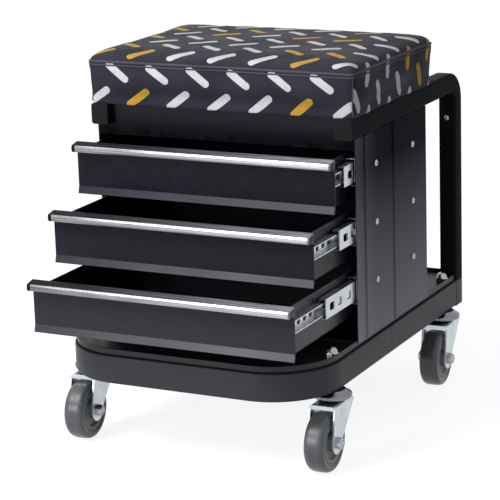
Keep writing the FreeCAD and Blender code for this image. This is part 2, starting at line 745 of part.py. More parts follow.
def make_cabinet_sheets():
    """Back sheet, front header under the seat and the sill over the tray."""
    back = new_body("back_panel")
    inner = "Places.panel_inner"
    rim = f"({inner} - Sizes.sheet_gauge - Sizes.fit_gap)"
    tube = "Places.tube_inner"
    floor = "Places.tray_floor"
    rail = "Places.rail_bottom"
    rear = "(Places.cabinet_rear - Sizes.sheet_gauge)"
    sheet_face = f"({rear} - Sizes.sheet_gauge)"
    section = new_sketch(back, "BackSection", "XZ_Plane", rear)
    polygon(section, [(f"-{rim}", floor), (rim, floor), (rim, rail), (tube, rail),
                      (tube, "Sizes.rail_top"), (f"-{tube}", "Sizes.rail_top"),
                      (f"-{tube}", rail), (f"-{rim}", rail)])
    pad(back, section, "Sizes.sheet_gauge")
    for name, bottom, half in (("BackLowFlange", floor, rim),
                               ("BackTopFlange", "Sizes.rail_top - Sizes.sheet_gauge", tube)):
        flange = new_sketch(back, name, "XZ_Plane", sheet_face)
        rectangle(flange, f"-{half}", half, bottom, f"{bottom} + Sizes.sheet_gauge")
        pad(back, flange, "Sizes.panel_flange")
    node(back)

    header = new_body("front_header")
    low = "Places.rail_bottom - Sizes.header_drop"
    high = "Sizes.rail_top"
    web = new_sketch(header, "HeaderWeb", "XZ_Plane", "Places.cabinet_front")
    polygon(web, [(f"-{inner}", low), (inner, low), (inner, rail), (tube, rail), (tube, high),
                  (f"-{tube}", high), (f"-{tube}", rail), (f"-{inner}", rail)])
    pad(header, web, "Sizes.sheet_gauge", backwards=True)
    for name, bottom, half in (("HeaderLowFlange", low, inner),
                               ("HeaderTopFlange", f"{high} - Sizes.sheet_gauge", tube)):
        flange = new_sketch(header, name, "XZ_Plane", "Places.cabinet_front")
        rectangle(flange, f"-{half}", half, bottom, f"{bottom} + Sizes.sheet_gauge")
        pad(header, flange, "Sizes.header_flange", backwards=True)
    node(header)

    sill = new_body("cabinet_sill")
    half = f"({inner} - Sizes.sheet_gauge)"
    front = "Places.cabinet_front"
    section = new_sketch(sill, "SillSection", "YZ_Plane", f"-{half}")
    polygon(section, [(front, floor), (f"{front} + Sizes.sill_flange", floor),
                      (f"{front} + Sizes.sill_flange", f"{floor} + Sizes.sheet_gauge"),
                      (f"{front} + Sizes.sheet_gauge", f"{floor} + Sizes.sheet_gauge"),
                      (f"{front} + Sizes.sheet_gauge", f"{floor} + Sizes.sill_height"),
                      (front, f"{floor} + Sizes.sill_height")])
    pad(sill, section, f"2 * {half}")
    node(sill)


# Drawer slides: a fixed outer member, a carrier that moves half as far, and the drawer's own member


def channel(sketch, web_face, tip, centre, height, gauge, lip, inwards):
    """Channel section with its web at one side and flanges that run to the tip, with lips if given.

    inwards is "-" where the flanges run towards the drawer, and "+" where they run away from it.
    """
    back = "+" if inwards == "-" else "-"
    web = f"{web_face} {inwards} {gauge}"
    bend = f"{tip} {back} {gauge}"
    edge = [(web_face, "0"), (tip, "0")]
    if lip:
        edge += [(tip, lip), (bend, lip), (bend, gauge)]
    else:
        edge += [(tip, gauge)]
    edge += [(web, gauge)]
    low = [(across, f"{centre} - (({height}) / 2 - {inset})") for across, inset in edge]
    high = [(across, f"{centre} + (({height}) / 2 - {inset})") for across, inset in reversed(edge)]
    polygon(sketch, low + high)


def punch(body, name, row, face, depth, spots, long, tall):
    """Round-ended windows through a slide member's web."""
    slots = new_sketch(body, name, "YZ_Plane", face)
    centre = slide_centre(row)
    for spot in spots:
        rounded_rectangle(slots, f"{spot} - {long} / 2", f"{spot} + {long} / 2",
                          f"{centre} - {tall} / 2", f"{centre} + {tall} / 2", "Sizes.slide_slot_radius")
    pocket(body, slots, depth)


def make_slides(row, name):
    """The three members of a drawer's left and right slides."""
    centre = slide_centre(row)
    opening = f"Sizes.open_{name}"
    drawer = f"(Places.cabinet_front + Sizes.closed_gap - {opening})"
    lipped = "(Sizes.slide_gauge + Sizes.slide_lip)"
    web_cut = "Sizes.slide_gauge + 2 * Sizes.fit_gap"

    outer = new_body(f"SlideOuter{row}")
    start = "(Places.cabinet_front + Sizes.slide_setback)"
    face = "Places.panel_inner"
    tip = "Places.channel_tip"
    section = new_sketch(outer, f"SlideOuterSection{row}", "XZ_Plane", start)
    channel(section, face, tip, centre, "Sizes.slide_height", "Sizes.slide_gauge", lipped, "-")
    pad(outer, section, "Sizes.slide_length", backwards=True)
    holes = new_sketch(outer, f"SlideOuterHoles{row}", "YZ_Plane", f"{face} + Sizes.fit_gap")
    for step in ("0", "Sizes.slide_screw_spacing"):
        circle(holes, f"Places.cabinet_front + Sizes.slide_screw_setback + {step}", centre,
               "Sizes.screw_shank / 2 + Sizes.hole_gap")
    pocket(outer, holes, web_cut)
    node(group(f"slide_outer_{name}", [outer, mirrored(f"SlideOuterLeft{row}", outer)]))

    carrier = new_body(f"SlideCarrier{row}")
    start = f"(Places.cabinet_front + Sizes.carrier_setback_{name} - {CARRIER_TRAVEL_SHARE} * {opening})"
    face = "Places.carrier_face"
    section = new_sketch(carrier, f"SlideCarrierSection{row}", "XZ_Plane", start)
    channel(section, face, tip, centre, "Places.carrier_height", "Sizes.slide_gauge", lipped, "-")
    pad(carrier, section, "Sizes.carrier_length", backwards=True)
    spots = [f"{start} + {share} * Sizes.carrier_length" for share in CARRIER_SLOT_SHARES]
    punch(carrier, f"SlideCarrierSlots{row}", row, f"{face} + Sizes.fit_gap", web_cut, spots,
          "Sizes.carrier_slot_length", "Sizes.carrier_slot_height")
    node(group(f"slide_carrier_{name}", [carrier, mirrored(f"SlideCarrierLeft{row}", carrier)]))

    inner = new_body(f"SlideInner{row}")
    start = f"({drawer} - Sizes.closed_gap + Sizes.slide_setback)"
    face = "Places.box_half"
    tip = "Places.carrier_face - Sizes.slide_gauge - Sizes.inner_web_gap"
    section = new_sketch(inner, f"SlideInnerSection{row}", "XZ_Plane", start)
    channel(section, face, tip, centre, "Places.inner_height", "Sizes.slide_gauge", None, "+")
    pad(inner, section, "Sizes.inner_length", backwards=True)
    spots = [f"{start} + {share} * Sizes.inner_length" for share in INNER_SLOT_SHARES]
    punch(inner, f"SlideInnerSlots{row}", row, f"{face} + {web_cut}", f"{web_cut} + Sizes.fit_gap", spots,
          "Sizes.inner_slot_length", "Sizes.inner_slot_height")
    node(group(f"slide_inner_{name}", [inner, mirrored(f"SlideInnerLeft{row}", inner)]))


def make_cages(row, name):
    """Ball cages in a drawer's slides: one between outer member and carrier, one inside the carrier."""
    room = "Places.panel_inner - Sizes.slide_gauge"
    gap = "(Sizes.carrier_web_gap - Sizes.cage_gauge) / 2"
    races = (("outer", f"{room} - {gap}", "Places.outer_inside", "Sizes.outer_cage_setback",
              OUTER_CAGE_TRAVEL_SHARE),
             ("inner", f"Places.carrier_face - Sizes.slide_gauge - {gap}", "Places.carrier_inside",
              "Sizes.inner_cage_setback", INNER_CAGE_TRAVEL_SHARE))
    for race, face, inside, setback, travel_share in races:
        rise = f"(({inside}) / 2 - Places.ball_room / 2)"
        start = f"(Places.cabinet_front + {setback} - {travel_share} * Sizes.open_{name})"
        across = "(Places.channel_tip + Sizes.slide_gauge + Sizes.ball_setback)"
        strip = new_body(f"Cage_{race}_{name}")
        section = new_sketch(strip, f"CageSection_{race}_{name}", "XZ_Plane", start)
        channel(section, face, "Places.channel_tip + Sizes.slide_gauge + 2 * Sizes.fit_gap",
                slide_centre(row), f"2 * {rise} + Sizes.cage_gauge", "Sizes.cage_gauge", None, "-")
        pad(strip, section, "Sizes.cage_length", backwards=True)
        high = f"{slide_centre(row)} + {rise} + Sizes.cut_over"
        holes = new_sketch(strip, f"CageHoles_{race}_{name}", "XY_Plane", high)
        pieces = [strip]
        for share in CAGE_BALL_SHARES:
            along = f"{start} + Sizes.cage_end + {share} * (Sizes.cage_length - 2 * Sizes.cage_end)"
            circle(holes, across, along, "Sizes.ball_diameter / 2 + Sizes.ball_cage_gap")
            for sign in ("+", "-"):
                ball = doc.addObject("Part::Sphere", "Ball")
                ball.setExpression("Radius", "Sizes.ball_diameter / 2")
                ball.setExpression("Placement.Base.x", across)
                ball.setExpression("Placement.Base.y", along)
                ball.setExpression("Placement.Base.z", f"{slide_centre(row)} {sign} {rise}")
                pieces.append(ball)
        pocket(strip, holes, f"2 * ({rise} + Sizes.cut_over)")
        right = group(f"CageRight_{race}_{name}", pieces)
        node(group(f"ball_cage_{race}_{name}", [right, mirrored(f"CageLeft_{race}_{name}", right)]))


# Drawers: folded box, front sheet and pull

def make_drawer(row, name):
    """The pieces of one drawer, which move together."""
    back_face = f"(Places.cabinet_front - Sizes.closed_gap - Sizes.open_{name})"
    top = front_top(row)
    bottom = f"({top} - Sizes.front_height)"
    half = "Places.box_half"
    gauge = "Sizes.box_gauge"

    box = new_body(f"drawer_box_{name}")
    outline = new_sketch(box, f"BoxOutline{row}", "XY_Plane", bottom)
    rectangle(outline, f"-{half}", half, back_face, f"{back_face} + Sizes.box_depth")
    pad(box, outline, "Sizes.front_height + Sizes.box_rise")
    foot = value(box, bottom)
    fillet(box, "Sizes.box_corner_radius", lambda edge: all(
        near(spot.Point.z, foot) for spot in edge.Vertexes) and near(edge.BoundBox.XLength, 0))
    hollow = new_sketch(box, f"BoxHollow{row}", "XY_Plane", f"{bottom} + {gauge}")
    rectangle(hollow, f"{gauge} - {half}", f"{half} - {gauge}", f"{back_face} + {gauge}",
              f"{back_face} + Sizes.box_depth - {gauge}")
    pocket(box, hollow, "Sizes.front_height + Sizes.box_rise", backwards=True)
    floor = value(box, f"{bottom} + {gauge}")
    side = value(box, f"{half} - {gauge}")
    fillet(box, f"Sizes.box_corner_radius - {gauge}", lambda edge: all(
        near(spot.Point.z, floor) and near(abs(spot.Point.x), side) for spot in edge.Vertexes)
        and near(edge.BoundBox.XLength, 0))
    node(box)

    front = new_body(f"drawer_front_{name}")
    section = new_sketch(front, f"FrontSection{row}", "YZ_Plane", "-Sizes.front_width / 2")
    face = f"{back_face} - Sizes.front_gauge"
    polygon(section, [
        (back_face, top),
        (face, top),
        (face, f"{bottom} + Sizes.flare_height"),
        (f"{face} - Sizes.flare_out", bottom),
        (f"{back_face} - Sizes.flare_out", bottom),
        (back_face, f"{bottom} + Sizes.flare_height"),
    ])
    pad(front, section, "Sizes.front_width")
    node(front)

    pull = new_body(f"drawer_pull_{name}")
    section = new_sketch(pull, f"PullSection{row}", "YZ_Plane", "-Sizes.front_width / 2")
    nose = f"{face} - Sizes.pull_reach"
    wall = "Sizes.pull_wall"
    nose_low = f"{top} + Sizes.pull_nose_rise"
    nose_high = f"{nose_low} + Sizes.pull_nose_height"
    crest = f"{top} + Sizes.pull_height"
    bulge = "Sizes.pull_wall / 2"
    arc_through(section, [
        (back_face, top),
        (back_face, crest),
        (f"{back_face} - {wall}", crest),
        (f"{nose} + {bulge}", nose_high),
        (f"{nose} + {bulge}", nose_low),
        (f"{nose} + {wall} + {bulge}", nose_low),
        (f"{nose} + {wall} + {bulge}", f"{nose_high} - {wall}"),
        (f"{back_face} - {wall}", f"{crest} - {wall}"),
        (f"{back_face} - {wall}", top),
    ], [None, None, None,
        (nose, f"{nose_low} + Sizes.pull_nose_height / 2"),
        None, None, None, None, None])
    pad(pull, section, "Sizes.front_width")
    node(pull)


def make_slide_screws():
    """Pan-head screws that hold the outer slide members to the side panels."""
    screw = new_body("SlideScrew")
    outer = "Places.panel_outer"
    deep = "Places.panel_inner - Sizes.slide_gauge"
    head = "Sizes.screw_head / 2"
    section = new_sketch(screw, "ScrewSection", "XZ_Plane", "0")
    arc_through(section, [
        (deep, "0"),
        (deep, "Sizes.screw_shank / 2"),
        (outer, "Sizes.screw_shank / 2"),
        (outer, head),
        (f"{outer} + Sizes.screw_head_height", "0"),
    ], [None, None, None,
        (f"{outer} + {HEAD_ROUND_SHARE} * Sizes.screw_head_height", f"{HEAD_ROUND_SHARE} * {head}"), None])
    revolve(screw, section, "H_Axis")
    links = [placed(f"SlideScrewAt{i}", screw, along=along, up=up)
             for i, (along, up) in enumerate(screw_spots())]
    right = group("SlideScrewsRight", links)
    node(group("slide_screws", [right, mirrored("SlideScrewsLeft", right)]))


# Seat: board, cushion and bolts

def make_seat():
    """Plywood board on the rails, padded cushion round it and the bolts that hold it down."""
    half_board = "(Sizes.cushion_width / 2 - Sizes.board_margin)"
    board_front = "(Places.cushion_front + Sizes.board_margin)"
    board_rear = "(Places.cushion_rear - Sizes.board_margin)"
    bolt_end = "Sizes.rail_top + Sizes.seat_bolt_bite"
    board = new_body("seat_board")
    outline = new_sketch(board, "BoardOutline", "XY_Plane", "Sizes.rail_top")
    rounded_rectangle(outline, f"-{half_board}", half_board, board_front, board_rear,
                      "Sizes.cushion_corner_radius")
    pad(board, outline, "Sizes.board_thickness")
    holes = new_sketch(board, "BoardHoles", "XY_Plane", f"{bolt_end} + Sizes.fit_gap")
    for side in ("", "-"):
        for along in seat_bolt_places():
            circle(holes, f"{side}Places.tube_middle", along, "Sizes.seat_bolt_shank / 2 + Sizes.hole_gap")
    pocket(board, holes, "Sizes.seat_bolt_bite + Sizes.cut_over")
    node(board)

    make_cushion(half_board, board_front, board_rear)

    bolt = new_body("SeatBolt")
    section = new_sketch(bolt, "SeatBoltSection", "XZ_Plane", "0")
    under = "(Places.rail_bottom - Sizes.sheet_gauge)"
    head = "Sizes.seat_bolt_head / 2"
    arc_through(section, [
        ("0", f"{under} - Sizes.seat_bolt_head_height"),
        (head, under),
        ("Sizes.seat_bolt_shank / 2", under),
        ("Sizes.seat_bolt_shank / 2", bolt_end),
        ("0", bolt_end),
    ], [(f"{HEAD_ROUND_SHARE} * {head}", f"{under} - {HEAD_ROUND_SHARE} * Sizes.seat_bolt_head_height"),
        None, None, None, None])
    revolve(bolt, section, "V_Axis")
    links = [placed(f"SeatBoltAt{i}", bolt, across="Places.tube_middle", along=along)
             for i, along in enumerate(seat_bolt_places())]
    right = group("SeatBoltsRight", links)
    node(group("seat_bolts", [right, mirrored("SeatBoltsLeft", right)]))


def make_cushion(half_board, board_front, board_rear):
    """Boxed cushion: a crowned top, sides drawn in between the corners and a recess for the board."""
    body = new_body("seat_cushion")
    bottom = "Places.cushion_bottom"
    edge = f"({bottom} + Sizes.cushion_height)"
    sections = []
    for i, (place_share, crown_share) in enumerate(CROWN_SHARES):
        along = f"Places.cushion_front + {place_share} * Places.cushion_depth"
        section = new_sketch(body, f"CushionSection{i}", "XZ_Plane", along)
        half = "Sizes.cushion_width / 2"
        bow = "Sizes.cushion_side_bow"
        waist = f"{bottom} + Sizes.cushion_height / 2"
        arc_through(section, [
            (f"{bow} - {half}", bottom),
            (f"{half} - {bow}", bottom),
            (f"{half} - {bow}", edge),
            (f"{bow} - {half}", edge),
        ], [None, (half, waist),
            ("0", f"{edge} + {CROWN_FLAT_SHARE} * Sizes.cushion_crown"
                  f" + {crown_share} * {CROWN_RISE_SHARE} * Sizes.cushion_crown"),
            (f"-{half}", waist)])
        sections.append(section)
    loft = body.newObject("PartDesign::AdditiveLoft", "CushionLoft")
    loft.Profile = sections[0]
    loft.Sections = sections[1:]
    loft.Ruled = False
    doc.recompute()

    trim = new_sketch(body, "CushionTrim", "XY_Plane", f"{bottom} - Sizes.cut_over")
    half = "Sizes.cushion_width / 2"
    front = "Places.cushion_front"
    rear = "Places.cushion_rear"
    draw = "Sizes.cushion_draw"
    round_in = "Sizes.cushion_corner_radius"
    corner = f"({CORNER_INSET_SHARE} * {round_in})"
    middle = f"({front} + Places.cushion_depth / 2)"
    over = "Sizes.cut_over"
    rectangle(trim, f"-{half} - {over}", f"{half} + {over}", f"{front} - {over}", f"{rear} + {over}")
    arc_through(trim, [
        (f"{round_in} - {half}", front), (f"{half} - {round_in}", front),
        (half, f"{front} + {round_in}"), (half, f"{rear} - {round_in}"),
        (f"{half} - {round_in}", rear), (f"{round_in} - {half}", rear),
        (f"-{half}", f"{rear} - {round_in}"), (f"-{half}", f"{front} + {round_in}"),
    ], [
        ("0", f"{front} + {draw}"), (f"{half} - {corner}", f"{front} + {corner}"),
        (f"{half} - {draw}", middle), (f"{half} - {corner}", f"{rear} - {corner}"),
        ("0", f"{rear} - {draw}"), (f"{corner} - {half}", f"{rear} - {corner}"),
        (f"{draw} - {half}", middle), (f"{corner} - {half}", f"{front} + {corner}"),
    ])
    pocket(body, trim, "Sizes.cushion_height + Sizes.cushion_crown + 3 * Sizes.cut_over", backwards=True)
    top = value(body, f"{edge} - Sizes.fit_gap")
    fillet(body, "Sizes.cushion_edge_radius", lambda item: all(
        spot.Point.z > top for spot in item.Vertexes))
    recess = new_sketch(body, "CushionRecess", "XY_Plane", f"{bottom} - Sizes.cut_over")
    gap = "Sizes.fit_gap"
    rounded_rectangle(recess, f"-{half_board} - {gap}", f"{half_board} + {gap}",
                      f"{board_front} - {gap}", f"{board_rear} + {gap}",
                      f"Sizes.cushion_corner_radius + {gap}")
    pocket(body, recess, "Sizes.board_thickness - Sizes.fit_gap + Sizes.cut_over", backwards=True)
    node(body)


# Casters: stem with raceway, fork, axle bolt, hub and tyre

def make_fork():
    """Pressed fork: a crown under the raceway with two legs that lead back to the axle."""
    body = new_body("CasterFork")
    half = "(Places.fork_half + Sizes.fork_gauge)"
    top, under = "Places.crown_top", "Places.crown_bottom"
    trail, foot = "Sizes.fork_trail", "Sizes.fork_foot_radius"
    axle = "Places.wheel_radius"
    lip = "Sizes.fork_lip_height"
    reach = "Sizes.fork_crown_reach"
    crown = "Sizes.fork_crown_radius"
    side = new_sketch(body, "ForkSide", "YZ_Plane", f"-{half}")
    arc_through(side, [
        (crown, top),
        (f"-{reach}", top),
        (f"-{reach}", f"{under} - {lip}"),
        (f"-{trail} - {foot}", axle),
        (f"{foot} - {trail}", axle),
        (crown, f"{under} - {lip}"),
    ], [None, None, None, (f"-{trail}", f"{axle} - {foot}"), None, None])
    pad(body, side, f"2 * {half}")
    inside = new_sketch(body, "ForkInside", "XZ_Plane", f"-{trail} - {foot} - Sizes.cut_over")
    rounded_rectangle(inside, "-Places.fork_half", "Places.fork_half", f"{axle} - {foot} - Sizes.cut_over",
                      under, "Sizes.fork_bend_radius - Sizes.fork_gauge")
    pocket(body, inside, f"{trail} + {foot} + {crown} + 2 * Sizes.cut_over")
    bar = new_sketch(body, "ForkLip", "XZ_Plane", f"-{reach}")
    rectangle(bar, f"-{half}", half, f"{under} - {lip}", top)
    pad(body, bar, "Sizes.fork_gauge", backwards=True)
    bore = new_sketch(body, "ForkKingpinHole", "XY_Plane", f"{top} + Sizes.cut_over")
    circle(bore, "0", "0", "Sizes.kingpin_radius + Sizes.kingpin_gap")
    pocket(body, bore, "Sizes.fork_gauge + 2 * Sizes.cut_over")
    axle_hole = new_sketch(body, "ForkAxleHole", "YZ_Plane", f"{half} + Sizes.cut_over")
    circle(axle_hole, f"-{trail}", axle, "Sizes.axle_shank / 2 + Sizes.hole_gap")
    pocket(body, axle_hole, f"2 * ({half} + Sizes.cut_over)")
    edge_x = value(body, half)
    height = value(body, top)
    fillet(body, "Sizes.fork_bend_radius", lambda edge: all(
        near(spot.Point.z, height) and near(abs(spot.Point.x), edge_x) for spot in edge.Vertexes)
        and near(edge.BoundBox.XLength, 0))
    return body


def make_stem():
    """Threaded stem, stepped raceway cup and the riveted kingpin below it."""
    body = new_body("CasterStem")
    section = new_sketch(body, "StemSection", "XZ_Plane", "0")
    stem = "Sizes.stem_diameter / 2"
    step = "Sizes.raceway_step_radius"
    cup = "Sizes.raceway_radius"
    pin = "Sizes.kingpin_radius"
    head = "Sizes.kingpin_head_radius"
    seat = "Sizes.mount_height"
    shoulder = f"{seat} - Sizes.raceway_step_height"
    rim = f"{shoulder} - Sizes.raceway_rim_height"
    race = "Places.crown_top + Sizes.raceway_gap"
    under = "Places.crown_bottom - Sizes.raceway_gap"
    end = "Places.tray_floor + Sizes.stem_nut_height"
    polygon(section, [
        ("0", f"{under} - Sizes.kingpin_head_height"),
        (head, f"{under} - Sizes.kingpin_head_height"),
        (head, under),
        (pin, under),
        (pin, race),
        (step, race),
        (cup, rim),
        (cup, f"{shoulder} - Sizes.raceway_gap"),
        (step, seat),
        (stem, seat),
        (stem, end),
        ("0", end),
    ])
    revolve(body, section, "V_Axis")
    return body


def make_axle():
    """Axle bolt across the fork with its head and nut on the outside of the legs."""
    outside = "(Places.fork_half + Sizes.fork_gauge)"
    shank = doc.addObject("Part::Cylinder", "AxleShank")
    shank.setExpression("Radius", "Sizes.axle_shank / 2")
    shank.setExpression("Height", f"2 * {outside} + Sizes.axle_nut_height")
    head = doc.addObject("Part::Prism", "AxleHead")
    nut = doc.addObject("Part::Prism", "AxleNut")
    for prism, tall, start in ((head, "Sizes.axle_head_height", f"-{outside} - Sizes.axle_head_height"),
                               (nut, "Sizes.axle_nut_height", outside)):
        prism.Polygon = 6
        prism.setExpression("Circumradius", "Sizes.axle_head_across / sqrt(3)")
        prism.setExpression("Height", tall)
        prism.setExpression("Placement.Base.x", start)
    shank.setExpression("Placement.Base.x", f"-{outside}")
    for piece in (shank, head, nut):
        piece.Placement.Rotation = FreeCAD.Rotation(V(0, 1, 0), 90)
        piece.setExpression("Placement.Base.y", "-Sizes.fork_trail")
        piece.setExpression("Placement.Base.z", "Places.wheel_radius")
    axle = doc.addObject("Part::MultiFuse", "CasterAxle")
    axle.Shapes = [shank, head, nut]
    return axle


def make_wheel():
    """Hub and tyre, turned about the axle."""
    hub = new_body("CasterHub")
    width = "(Sizes.wheel_width / 2)"
    boss = "(Places.fork_half - Sizes.boss_side_gap)"
    bore = "(Sizes.axle_shank / 2 + Sizes.axle_running_gap)"
    rim = "Sizes.tyre_inner_radius"
    bead = "Sizes.hub_bead_width / 2"
    recess = f"({width} - Sizes.hub_recess_depth)"
    section = new_sketch(hub, "HubSection", "XZ_Plane", "0")
    polygon(section, [
        (f"-{boss}", bore), (boss, bore), (boss, "Sizes.hub_boss_radius"),
        (recess, "Sizes.hub_boss_radius"), (recess, "Sizes.hub_recess_radius"),
        (width, "Sizes.hub_recess_radius"), (width, rim), (bead, rim),
        (bead, f"{rim} + Sizes.hub_bead_height"), (f"-{bead}", f"{rim} + Sizes.hub_bead_height"),
        (f"-{bead}", rim), (f"-{width}", rim), (f"-{width}", "Sizes.hub_recess_radius"),
        (f"-{recess}", "Sizes.hub_recess_radius"), (f"-{recess}", "Sizes.hub_boss_radius"),
        (f"-{boss}", "Sizes.hub_boss_radius"),
    ])
    revolve(hub, section, "H_Axis")

    tyre = new_body("CasterTyre")
    outer = "Places.wheel_radius"
    section = new_sketch(tyre, "TyreSection", "XZ_Plane", "0")
    crown = "(Places.wheel_radius - Sizes.tread_crown)"
    shoulder = "Sizes.tread_shoulder"
    arc_through(section, [
        (f"-{width}", rim),
        (f"-{bead}", rim),
        (f"-{bead}", f"{rim} + Sizes.hub_bead_height"),
        (bead, f"{rim} + Sizes.hub_bead_height"),
        (bead, rim),
        (width, rim),
        (width, f"{crown} - {shoulder}"),
        (f"{width} - {TREAD_EDGE_SHARE} * {shoulder}", crown),
        (f"{TREAD_EDGE_SHARE} * {shoulder} - {width}", crown),
        (f"-{width}", f"{crown} - {shoulder}"),
    ], [None, None, None, None, None, None,
        (f"{width} - {SHOULDER_ROUND_SHARE} * {shoulder}", f"{crown} - {SHOULDER_DROP_SHARE} * {shoulder}"),
        ("0", outer),
        (f"{SHOULDER_ROUND_SHARE} * {shoulder} - {width}", f"{crown} - {SHOULDER_DROP_SHARE} * {shoulder}"),
        None])
    revolve(tyre, section, "H_Axis")
    return hub, tyre


def make_casters():
    """Four casters from one set of pieces, each turned about its own stem."""
    fork = make_fork()
    stem = make_stem()
    axle = make_axle()
    hub, tyre = make_wheel()
    nut = doc.addObject("Part::Prism", "StemNutHex")
    nut.Polygon = 6
    nut.setExpression("Circumradius", "Sizes.stem_nut_across / sqrt(3)")
    nut.setExpression("Height", "Sizes.stem_nut_height")
    nut.setExpression("Placement.Base.z", "Places.tray_floor")
    nut.setExpression("Placement.Rotation.Angle", "Sizes.stem_nut_turn")
    dome = doc.addObject("Part::Cone", "StemNutDome")
    dome.setExpression("Radius1", "Sizes.stem_nut_across / 2")
    dome.setExpression("Radius2", "Sizes.stem_nut_across / 4")
    dome.setExpression("Height", "Sizes.stem_nut_dome")
    dome.setExpression("Placement.Base.z", "Places.tray_floor + Sizes.stem_nut_height")
    blank = doc.addObject("Part::Fuse", "StemNutBlank")
    blank.Base = nut
    blank.Tool = dome
    thread = doc.addObject("Part::Cylinder", "StemNutThread")
    thread.setExpression("Radius", "Sizes.stem_diameter / 2 + Sizes.hole_gap / 2")
    thread.setExpression("Height", "Sizes.stem_nut_height + Sizes.fit_gap")
    thread.setExpression("Placement.Base.z", "Places.tray_floor")
    nut_piece = doc.addObject("Part::Cut", "StemNut")
    nut_piece.Base = blank
    nut_piece.Tool = thread
    nuts = []
    stems = []
    for end, along in (("front", "Places.stem_front"), ("rear", "Places.stem_rear")):
        for side, sign in (("left", "-"), ("right", "")):
            across = f"{sign}Places.tube_middle"
            corner = f"{end}_{side}"
            angle = f"Sizes.swivel_angle_{corner}"
            nuts.append(placed(f"StemNutAt_{corner}", nut_piece, across, along))
            stems.append(placed(f"StemAt_{corner}", stem, across, along))
            for label, source in (("caster_fork", fork), ("caster_axle", axle),
                                  ("wheel_hub", hub), ("wheel_tyre", tyre)):
                link = placed(f"{label}_{corner}_link", source)
                if source in (hub, tyre):
                    link.setExpression("Placement.Base.y", "-Sizes.fork_trail")
                    link.setExpression("Placement.Base.z", "Places.wheel_radius")
                piece = group(f"{label}_{corner}", [link])
                piece.setExpression("Placement.Base.x", across)
                piece.setExpression("Placement.Base.y", along)
                piece.setExpression("Placement.Rotation.Angle", angle)
                node(piece)
    node(group("caster_stems", stems))
    node(group("stem_nuts", nuts))


# Building and writing

make_hoop()
make_base()
make_plugs()
make_tray()
make_side_panel()
make_cabinet_sheets()
for index, label in enumerate(ROWS):
    make_slides(index, label)
    make_cages(index, label)
    make_drawer(index, label)
make_slide_screws()
make_seat()
make_casters()
doc.recompute()

for item in doc.Objects:
    if "Invalid" in item.State or "Error" in item.State:
        raise RuntimeError(f"{item.Name} did not build: {item.State}")
for piece in NODES:
    shape = piece.Shape
    if shape.isNull() or not shape.isValid() or not shape.Solids:
        raise RuntimeError(f"{piece.Label} is not a sound solid")

os.makedirs("parts", exist_ok=True)
for piece in NODES:
    piece.Shape.exportStep(f"parts/{piece.Label}.step")
print(f"{len(NODES)} nodes written")
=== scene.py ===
"""Looks of the roller seat with three drawers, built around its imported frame."""
import json
import logging
import math
from dataclasses import dataclass, field
from enum import Enum
from functools import reduce
from typing import Callable, Optional, Sequence, Union

import bmesh
import bpy
import numpy as np
from mathutils import Matrix, Vector
from mathutils.bvhtree import BVHTree

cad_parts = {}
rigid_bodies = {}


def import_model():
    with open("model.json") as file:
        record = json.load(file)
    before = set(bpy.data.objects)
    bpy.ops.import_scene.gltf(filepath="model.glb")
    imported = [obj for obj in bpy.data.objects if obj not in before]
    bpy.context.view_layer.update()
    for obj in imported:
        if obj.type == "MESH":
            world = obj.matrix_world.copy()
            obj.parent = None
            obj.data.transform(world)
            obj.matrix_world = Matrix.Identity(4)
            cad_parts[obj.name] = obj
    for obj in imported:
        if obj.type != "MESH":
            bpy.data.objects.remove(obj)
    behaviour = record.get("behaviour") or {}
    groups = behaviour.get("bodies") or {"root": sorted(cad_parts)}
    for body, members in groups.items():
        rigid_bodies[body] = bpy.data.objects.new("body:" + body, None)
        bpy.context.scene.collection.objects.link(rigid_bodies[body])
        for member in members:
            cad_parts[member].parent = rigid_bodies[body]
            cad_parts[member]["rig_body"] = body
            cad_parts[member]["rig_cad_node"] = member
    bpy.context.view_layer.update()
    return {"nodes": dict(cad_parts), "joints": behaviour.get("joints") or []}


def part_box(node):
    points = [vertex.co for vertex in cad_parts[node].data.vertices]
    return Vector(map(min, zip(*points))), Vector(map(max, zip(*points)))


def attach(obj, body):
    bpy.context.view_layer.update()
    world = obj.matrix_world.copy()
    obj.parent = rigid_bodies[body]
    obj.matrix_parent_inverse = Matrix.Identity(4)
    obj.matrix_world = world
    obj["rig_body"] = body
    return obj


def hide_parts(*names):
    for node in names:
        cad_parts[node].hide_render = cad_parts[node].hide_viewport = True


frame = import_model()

log = logging.getLogger("roller_seat")

Array = np.ndarray
Object = bpy.types.Object
Mesh = bpy.types.Mesh
Node = bpy.types.Node
Socket = bpy.types.NodeSocket
Triple = tuple[float, float, float]
Colour = Triple
Value = Union[float, Sequence[float], Socket]

# A millimetre, half the length of a pull, the distance at which points merge, and the angle in degrees up to
# which faces count as one flat face.
MM = 0.001
PULL_HALF = 165 * MM
MERGE = 1e-6
FLAT = 0.6
RIGHT, BACK, UP = np.eye(3)


class Row(Enum):
    """The three drawers, from the top."""

    TOP = "top"
    MIDDLE = "middle"
    BOTTOM = "bottom"


class Corner(Enum):
    """The four casters."""

    FRONT_LEFT = "front_left"
    FRONT_RIGHT = "front_right"
    REAR_LEFT = "rear_left"
    REAR_RIGHT = "rear_right"


class Side(Enum):
    """Left and right of the seat, with the sign of X."""

    LEFT = -1
    RIGHT = 1


# Shader graphs


